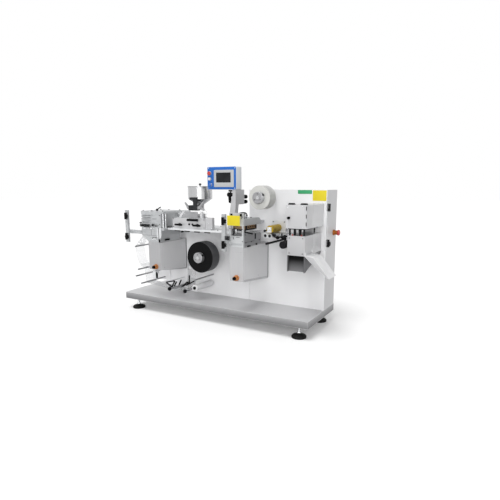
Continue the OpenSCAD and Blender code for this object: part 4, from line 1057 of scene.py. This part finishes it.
# Traction and web
def traction():
    x, z, r, front = round_node("traction_roller")
    rear = span("traction_roller")[1].y
    collars = Piece("traction_collars", "traction_drum")
    for y, way in ((front, TO_BACK), (rear, TO_FRONT)):
        collars.turned((x, y - 0.6 * way[1], z), way,
                       [(0, 7.2), (0, r - 1), (0.6, r + 0.2), (2.4, r + 0.2), (2.8, r - 1)], GOLD, 48)
    collars.done("gold_roller")

    caps = Piece("guide_roller_caps")
    for gx in (1265, 1297):
        caps.turned((gx, front, GUIDE_Z), TO_FRONT, [(-1, 15), (1.5, 15), (2.5, 14), (2.5, 11), (1, 11)],
                    WHITE_PLATE, 30)
        caps.turned((gx, front, GUIDE_Z), TO_FRONT, [(0, 10.6), (2, 10.6), (2.6, 9), (2.6, 6), (4, 5),
                                                     (4, 0)], BLACK_STEEL, 26)
    caps.turned((x, span("roller_brackets")[0].y, z), TO_FRONT,
                [(-1, 9), (2, 9), (3, 8), (3, 4), (1, 4), (1, 0)], BRIGHT_STEEL, 26)
    caps.screws((1258, 1343), (181,), (524, 615), TO_FRONT, 7)
    caps.done("black_steel")

    links = Piece("traction_links")
    links.turned((1261, 42, 563), TO_BACK, [(0, 0), (0, 6), (2, 8), (9, 8), (11, 5), (60, 5)],
                 BLACK_PLASTIC, 22)
    links.box((1306, 56, 530), (1336, 66, 544), BLACK_STEEL, 2)
    links.tube([(1306, 60, 537), (1326, 60, 526), (1349, 60, 521)], 9, BLACK_STEEL)
    links.turned((1349, 52, 521), TO_BACK, [(0, 0), (0, 9), (3, 11), (14, 11), (17, 6), (130, 6)],
                 BLACK_PLASTIC, 24)
    links.tube([(1363, 104, 550), (1360, 102, 536), (1367, 100, 519)], 10, BLACK_STEEL)
    links.turned((1367, 92, 519), TO_BACK, [(0, 0), (0, 8), (3, 10), (12, 10), (15, 6), (194, 6)],
                 BLACK_PLASTIC, 24)
    # A black bar under the traction roller: painted shadow beneath the roller.
    links.box((1292, 51, 550), (1302, 180, 553.5), BLACK_STEEL, 0.8)
    links.done("black_steel")

    sleeve = Piece("guide_rod_sleeve")
    sleeve.turned((1297, 0, 484), TO_BACK, [(-0.4, 6.4), (0, 7.2), (284, 7.2), (284, 11), (293, 11)],
                  BLACK_STEEL)
    sleeve.done("black_steel")

    ring = Piece("pull_roller_face", "pull_drum")
    x, z, _, front = round_node("pull_roller")
    ring.turned((x, front, z), TO_FRONT, [(-1, 22), (1, 22), (1.8, 21), (1.8, 17), (0.4, 16), (0.4, 7),
                                          (2, 6), (2, 0)], BLACK_STEEL)
    ring.done("black_steel")


def web_fittings():
    arms = Piece("tension_levers")
    for (ax, az), (bx, bz), y in (((385, 114), (438, 87), 56), ((553, 98), (594, 138), 56),
                                  ((573, 107), (649, 148), 74), ((381, 47), (409, 102), 214),
                                  ((396, 116), (470, 133), 56), ((448, 84), (474, 132), 56),
                                  ((594, 138), (617, 125), 56), ((470, 92), (492, 128), 56)):
        run = Vector((bx - ax, 0, bz - az))
        lean = Matrix.Rotation(-math.atan2(run.z, run.x), 4, "Y")
        middle = Vector(((ax + bx) / 2, y, (az + bz) / 2))
        half = Vector((run.length / 2 + 2, 5, 4.5))
        arms.box(middle - half, middle + half, BLACK_PLASTIC, 2, lean)
    arms.rod((389, 50, 112), (389, 285, 112), 7, BRIGHT_STEEL)
    arms.rod((435, 48, 69), (435, 64, 88), 9, BLACK_STEEL)
    arms.rod((613, 62, 132), (613, 62, 186), 9, BLACK_PLASTIC)
    arms.ball((613, 62, 186), 14, BLACK_PLASTIC)
    arms.done("black_plastic")

    sensor = Piece("loop_sensor")
    sensor.box((256, 56, 130), (286, 64, 188), WHITE_PLATE, 1)
    sensor.box((286, 53, 136), (298, 67, 184), BLACK_PLASTIC, 2)
    sensor.rod((306, 60, 178), (306, 60, 222), 10, MACHINED)
    sensor.box((262, 57, 176), (312, 63, 184), MACHINED, 1)
    sensor.done("black_plastic")

    hub = Piece("tension_roller_hub")
    x, z, _, front = round_node("tension_roller")
    hub.turned((x, front, z), TO_FRONT, [(-1, 22), (1, 22), (2, 21), (2, 14), (1, 13)], WHITE_PLASTIC)
    hub.turned((x, front, z), TO_FRONT, [(0, 12), (7, 12), (9, 10), (9, 0)], BLACK_PLASTIC)
    hub.done("black_plastic")

    tips = Piece("bush_tips")
    for bx, front in ((366.4, -25), (1109, -66)):
        tips.turned((bx, front - 24, BUSH_Z), TO_FRONT,
                    [(-1, 12), (3, 12), (5, 10.5), (13, 10.5), (15, 9), (15.4, 0)], BLACK_PLASTIC)
        for k in range(3):
            t = math.radians(30 + 120 * k)
            tips.cap_screw((bx + 17 * math.cos(t), front - 13, BUSH_Z + 17 * math.sin(t)), TO_FRONT, 5)
    tips.done("black_plastic")


# Cutting station
def cutting_station():
    low, high = span("cutting_head")
    hinges = Piece("cutting_head_fittings")
    for z in (612, 660, 708):
        hinges.rod((high.x - 3, low.y - 1, z), (high.x - 3, low.y - 1, z + 24), 5, BLACK_STEEL)
    hinges.slab(round_rect(low.x + 10, low.z + 10, high.x - 22, high.z - 10, 4), 1, low.y - COVER,
                low.y + SUNK, HEAD_PAINT, 0.6)
    hinges.screws((low.x + 16, high.x - 28), (low.y - COVER,), (low.z + 16, high.z - 16),
                  TO_FRONT, 6, True)
    hinges.done("pale_paint")

    under = Piece("cutting_stripper")
    under.box((1449, 2, 587), (1573, 210, 594.5), BLACK_STEEL, 1)
    for x in (1492, 1526):
        under.rod((x, 14, 547), (x, 14, 588), 14, BLACK_STEEL)
        for k in range(5):
            under.turned((x, 14, 552 + 7 * k), UP, [(0, 7), (1.4, 9.4), (2.8, 9.4), (4.2, 7)],
                         BLACK_STEEL, 24)
    for x in (1478, 1540):
        under.rod((x, 8, 547), (x, 8, 556), 8, RED_PLASTIC)
    under.done("black_steel")

    # A black top sheet and a graded back sheet inside the outlet: painted shade in the opening.
    shade_sheets = Piece("outlet_painted_shade")
    shade_sheets.box((1452, 4, 417), (1562, 290, 422.5), BLACK_STEEL, 0.4)
    shade_sheets.slab([(24, 417), (28, 417), (16, 319), (12, 319)], 0, 1451.5, 1562.5, OUTLET_SHADE, 0.4)
    shade_sheets.done("black_steel")

    # A grey sheet on the chute's front face: painted shade on that side; a white lip along its top edge.
    shade_and_lip = Piece("chute_shade_and_lip")
    face = span("discharge_chute")[0].y
    shade_and_lip.slab([(1568, 426), (1605.5, 389), (1714, 304), (1722, 301), (1624, 417)], 1, face - 1,
               face + 0.4, BOX_PAINT, 0.3)
    shade_and_lip.slab([(1567.6, 425), (1567.6, 427.5), (1627, 420.5), (1626, 418)], 1, face + 1, face + 132,
               WHITE_PLASTIC, 0.3)
    shade_and_lip.done("white_plastic")

    low, high = span("cutting_die_box")
    box = Piece("die_box_trim")
    box.slab(round_rect(low.x + 8, low.z + 8, high.x - 8, high.z - 8, 3), 1, low.y - COVER, low.y + SUNK,
             DIE_STEEL, 0.6)
    box.screws((low.x + 15, high.x - 15), (low.y - COVER,), (low.z + 15, high.z - 15), TO_FRONT, 6)
    box.done("brushed_stainless")


# Guards
CAP_NUT = [(-0.5, 4), (2, 4), (3, 3), (3, 0)]


def guards():
    for body, axis in (("forming_guard", 1), ("sealing_guard", 1), ("cutting_guard", 0)):
        screws = Piece(body + "_screws", body)
        low, high = span(body + "_leaves")
        panel_low, panel_high = span(body + "_panel")
        for z in (low.z + 6, low.z + 20, high.z - 20, high.z - 6):
            if axis == 1:
                screws.dome_screw((high.x - 6, panel_low.y - 4, z), TO_FRONT, 6, BLACK_STEEL)
                screws.turned((high.x - 6, panel_high.y, z), TO_BACK, CAP_NUT, BRIGHT_STEEL, 18)
            else:
                screws.dome_screw((panel_high.x + 4, low.y + 6, z), TO_RIGHT, 6, BLACK_STEEL)
                screws.turned((panel_low.x, low.y + 6, z), TO_LEFT, CAP_NUT, BRIGHT_STEEL, 18)
        screws.done("polished_stainless")


# Feet and emergency stop
def feet():
    low, high = span("levelling_feet")
    made = Piece("feet")
    pad = [(0, 46), (1.5, 49.5), (11, 50), (14, 48), (19, 44), (23, 28), (27, 20), (30, 17), (31, 0)]
    thread = [(28 + k, 8.2 if k % 2 else 9.2) for k in range(48)]
    stem = [(24, 14), (30, 14), (33, 11), *thread, (85, 9)]
    for x, y in product((low.x + 50, high.x - 50), (low.y + 50, high.y - 50)):
        made.turned((x, y, low.z), UP, pad, RUBBER, 48)
        made.turned((x, y, low.z), UP, stem, BRIGHT_STEEL, 28)
        made.hex_nut((x, y, low.z + 31), UP, 26, 10, BRIGHT_STEEL)
        made.hex_nut((x, y, low.z + 72), UP, 28, 13, BRIGHT_STEEL)
    made.done("black_rubber", "levelling_feet")


def emergency_stop():
    low, high = span("emergency_stop")
    y = (low.y + high.y) / 2
    z = (low.z + high.z) / 2
    stop = Piece("stop_button")
    for ring in ([(0, 19.5), (8, 19.8), (11, 18), (11, 15)], [(9, 15), (13, 15.5), (26, 15.5), (30, 14)]):
        stop.turned((low.x, y, z), TO_RIGHT, ring, AMBER_PLASTIC)
    stop.turned((low.x, y, z), TO_RIGHT, [(26, 12), (31, 13), (32, 19), (34, 20), (41, 20), (45, 17.5),
                                          (47.3, 11), (48, 0)], RED_PLASTIC, 48)
    stop.done("red_plastic", "emergency_stop")


# Rear and left faces, finished plainly
VENT_LEAN = Matrix.Rotation(math.radians(-22), 4, "X")


def rear_panels():
    tall_low, tall_high = span("tall_cabinet")
    low_top = span("low_cabinet")[1].z
    face = tall_high.y
    doors = Piece("rear_panels")
    panels = ((tall_low.x + 20, 36, tall_high.x - 20, tall_high.z - 30),
              (206, 30, 590, low_top - 24), (606, 30, tall_low.x - 14, low_top - 24))
    for x0, z0, x1, z1 in panels:
        doors.slab(round_rect(x0, z0, x1, z1, 6), 1, face - SUNK, face + 2.5, PALE_PAINT, 0.9)
        mid = (x0 + x1) / 2
        doors.screws((x0 + 14, mid, x1 - 14), (face + 2.5,), (z0 + 14, z1 - 14), TO_BACK, 8, True)
        for k in range(9):
            z = z0 + 60 + 13 * k
            doors.box((mid - 90, face + 1.4, z), (mid + 90, face + 5, z + 7), PALE_PAINT, 0.8, VENT_LEAN)
            doors.box((mid - 88, face + 2, z - 4), (mid + 88, face + 2.8, z + 1), BLACK_PLASTIC, 0.2)
    for z in (260, 560):
        x = tall_low.x + 46
        doors.turned((x, face + 2.5, z), TO_BACK, [(-0.5, 12), (2, 12), (3, 10), (3, 5), (1.5, 4.6),
                                                   (1.5, 0)], BRIGHT_STEEL)
    doors.done("pale_paint")

    end = Piece("left_end_panel")
    wall_inner = tall_low.y + 16
    end.slab(round_rect(wall_inner, 30, face - 16, low_top - 24, 6), 0, LEFT_END - 2.2, LEFT_END + SUNK,
             PALE_PAINT, 0.9)
    end.screws((LEFT_END - 2.2,), (wall_inner + 12, face - 28), (42, low_top - 36), TO_LEFT, 8, True)
    end.done("pale_paint")


operator_panel()
forming_station()
feeder()
sealing_station()
wall_plates()
reels()
traction()
web_fittings()
cutting_station()
guards()
feet()
emergency_stop()
rear_panels()


# Floor, which is white to the camera and keeps the object's shadow
FLOOR_HALF = 30.0
FLOOR_BOUNCE = 0.66
FLOOR_GLOW = 0.05
ROOM_LEVEL = 0.50
LAMPS = (("key", (0.06, 0.40, -0.91), 1.6, 30), ("fill", (-0.44, 0.87, -0.22), 1.35, 36))


def seen_directly(tree):
    """A mask of what the camera sees, also in metal and through glass."""
    seen = put(tree, "ShaderNodeLightPath").outputs
    direct = maths(tree, "ADD", seen["Is Camera Ray"], seen["Is Glossy Ray"])
    return maths(tree, "ADD", direct, seen["Is Transmission Ray"], clamp=True)


def make_floor():
    data = bpy.data.meshes.new("floor")
    corners = [(x * FLOOR_HALF, y * FLOOR_HALF, 0) for x, y in ((-1, -1), (1, -1), (1, 1), (-1, 1))]
    data.from_pydata(corners, [], [(0, 1, 2, 3)])
    floor = bpy.data.objects.new("floor", data)
    scene.collection.objects.link(floor)
    material, tree, shader = start("floor")
    cloud = place(tree, SOFT_CLOUDING, Density=0.4)["Cloud"]
    shader.inputs["Roughness"].default_value = 0.9
    shader.inputs["Specular IOR Level"].default_value = 0.1
    direct = seen_directly(tree)
    white = blend(tree, cloud, grey(0.96, 0), grey(0.98, 0))
    tree.links.new(blend(tree, direct, grey(FLOOR_BOUNCE, 0), white), shader.inputs["Base Color"])
    strength = maths(tree, "MULTIPLY", direct, FLOOR_GLOW)
    glow = put(tree, "ShaderNodeEmission", {"Color": (1, 1, 1, 1), "Strength": strength})
    both = put(tree, "ShaderNodeAddShader", {0: shader.outputs[0], 1: glow.outputs[0]})
    tree.links.new(both.outputs[0], tree.nodes["Material Output"].inputs[0])
    data.materials.append(material)


def make_world(level):
    world = bpy.data.worlds.new("studio")
    scene.world = world
    world.use_nodes = True
    tree = world.node_tree
    soft = tree.nodes["Background"]
    soft.inputs[0].default_value = (1, 1, 1, 1)
    soft.inputs[1].default_value = level
    white = put(tree, "ShaderNodeBackground", {0: (1, 1, 1, 1), 1: 1.0})
    mixed = put(tree, "ShaderNodeMixShader", {0: seen_directly(tree), 1: soft.outputs[0],
                                              2: white.outputs[0]})
    tree.links.new(mixed.outputs[0], tree.nodes["World Output"].inputs[0])


def soft_lamp(name, way, strength, spread):
    """A broad, even light that shines along a way."""
    lamp = bpy.data.lights.new(name, "SUN")
    lamp.energy = strength
    lamp.angle = math.radians(spread)
    holder = bpy.data.objects.new(name, lamp)
    scene.collection.objects.link(holder)
    holder.rotation_euler = Vector(way).to_track_quat("-Z", "Y").to_euler()


make_floor()
make_world(ROOM_LEVEL)
for lamp_values in LAMPS:
    soft_lamp(*lamp_values)
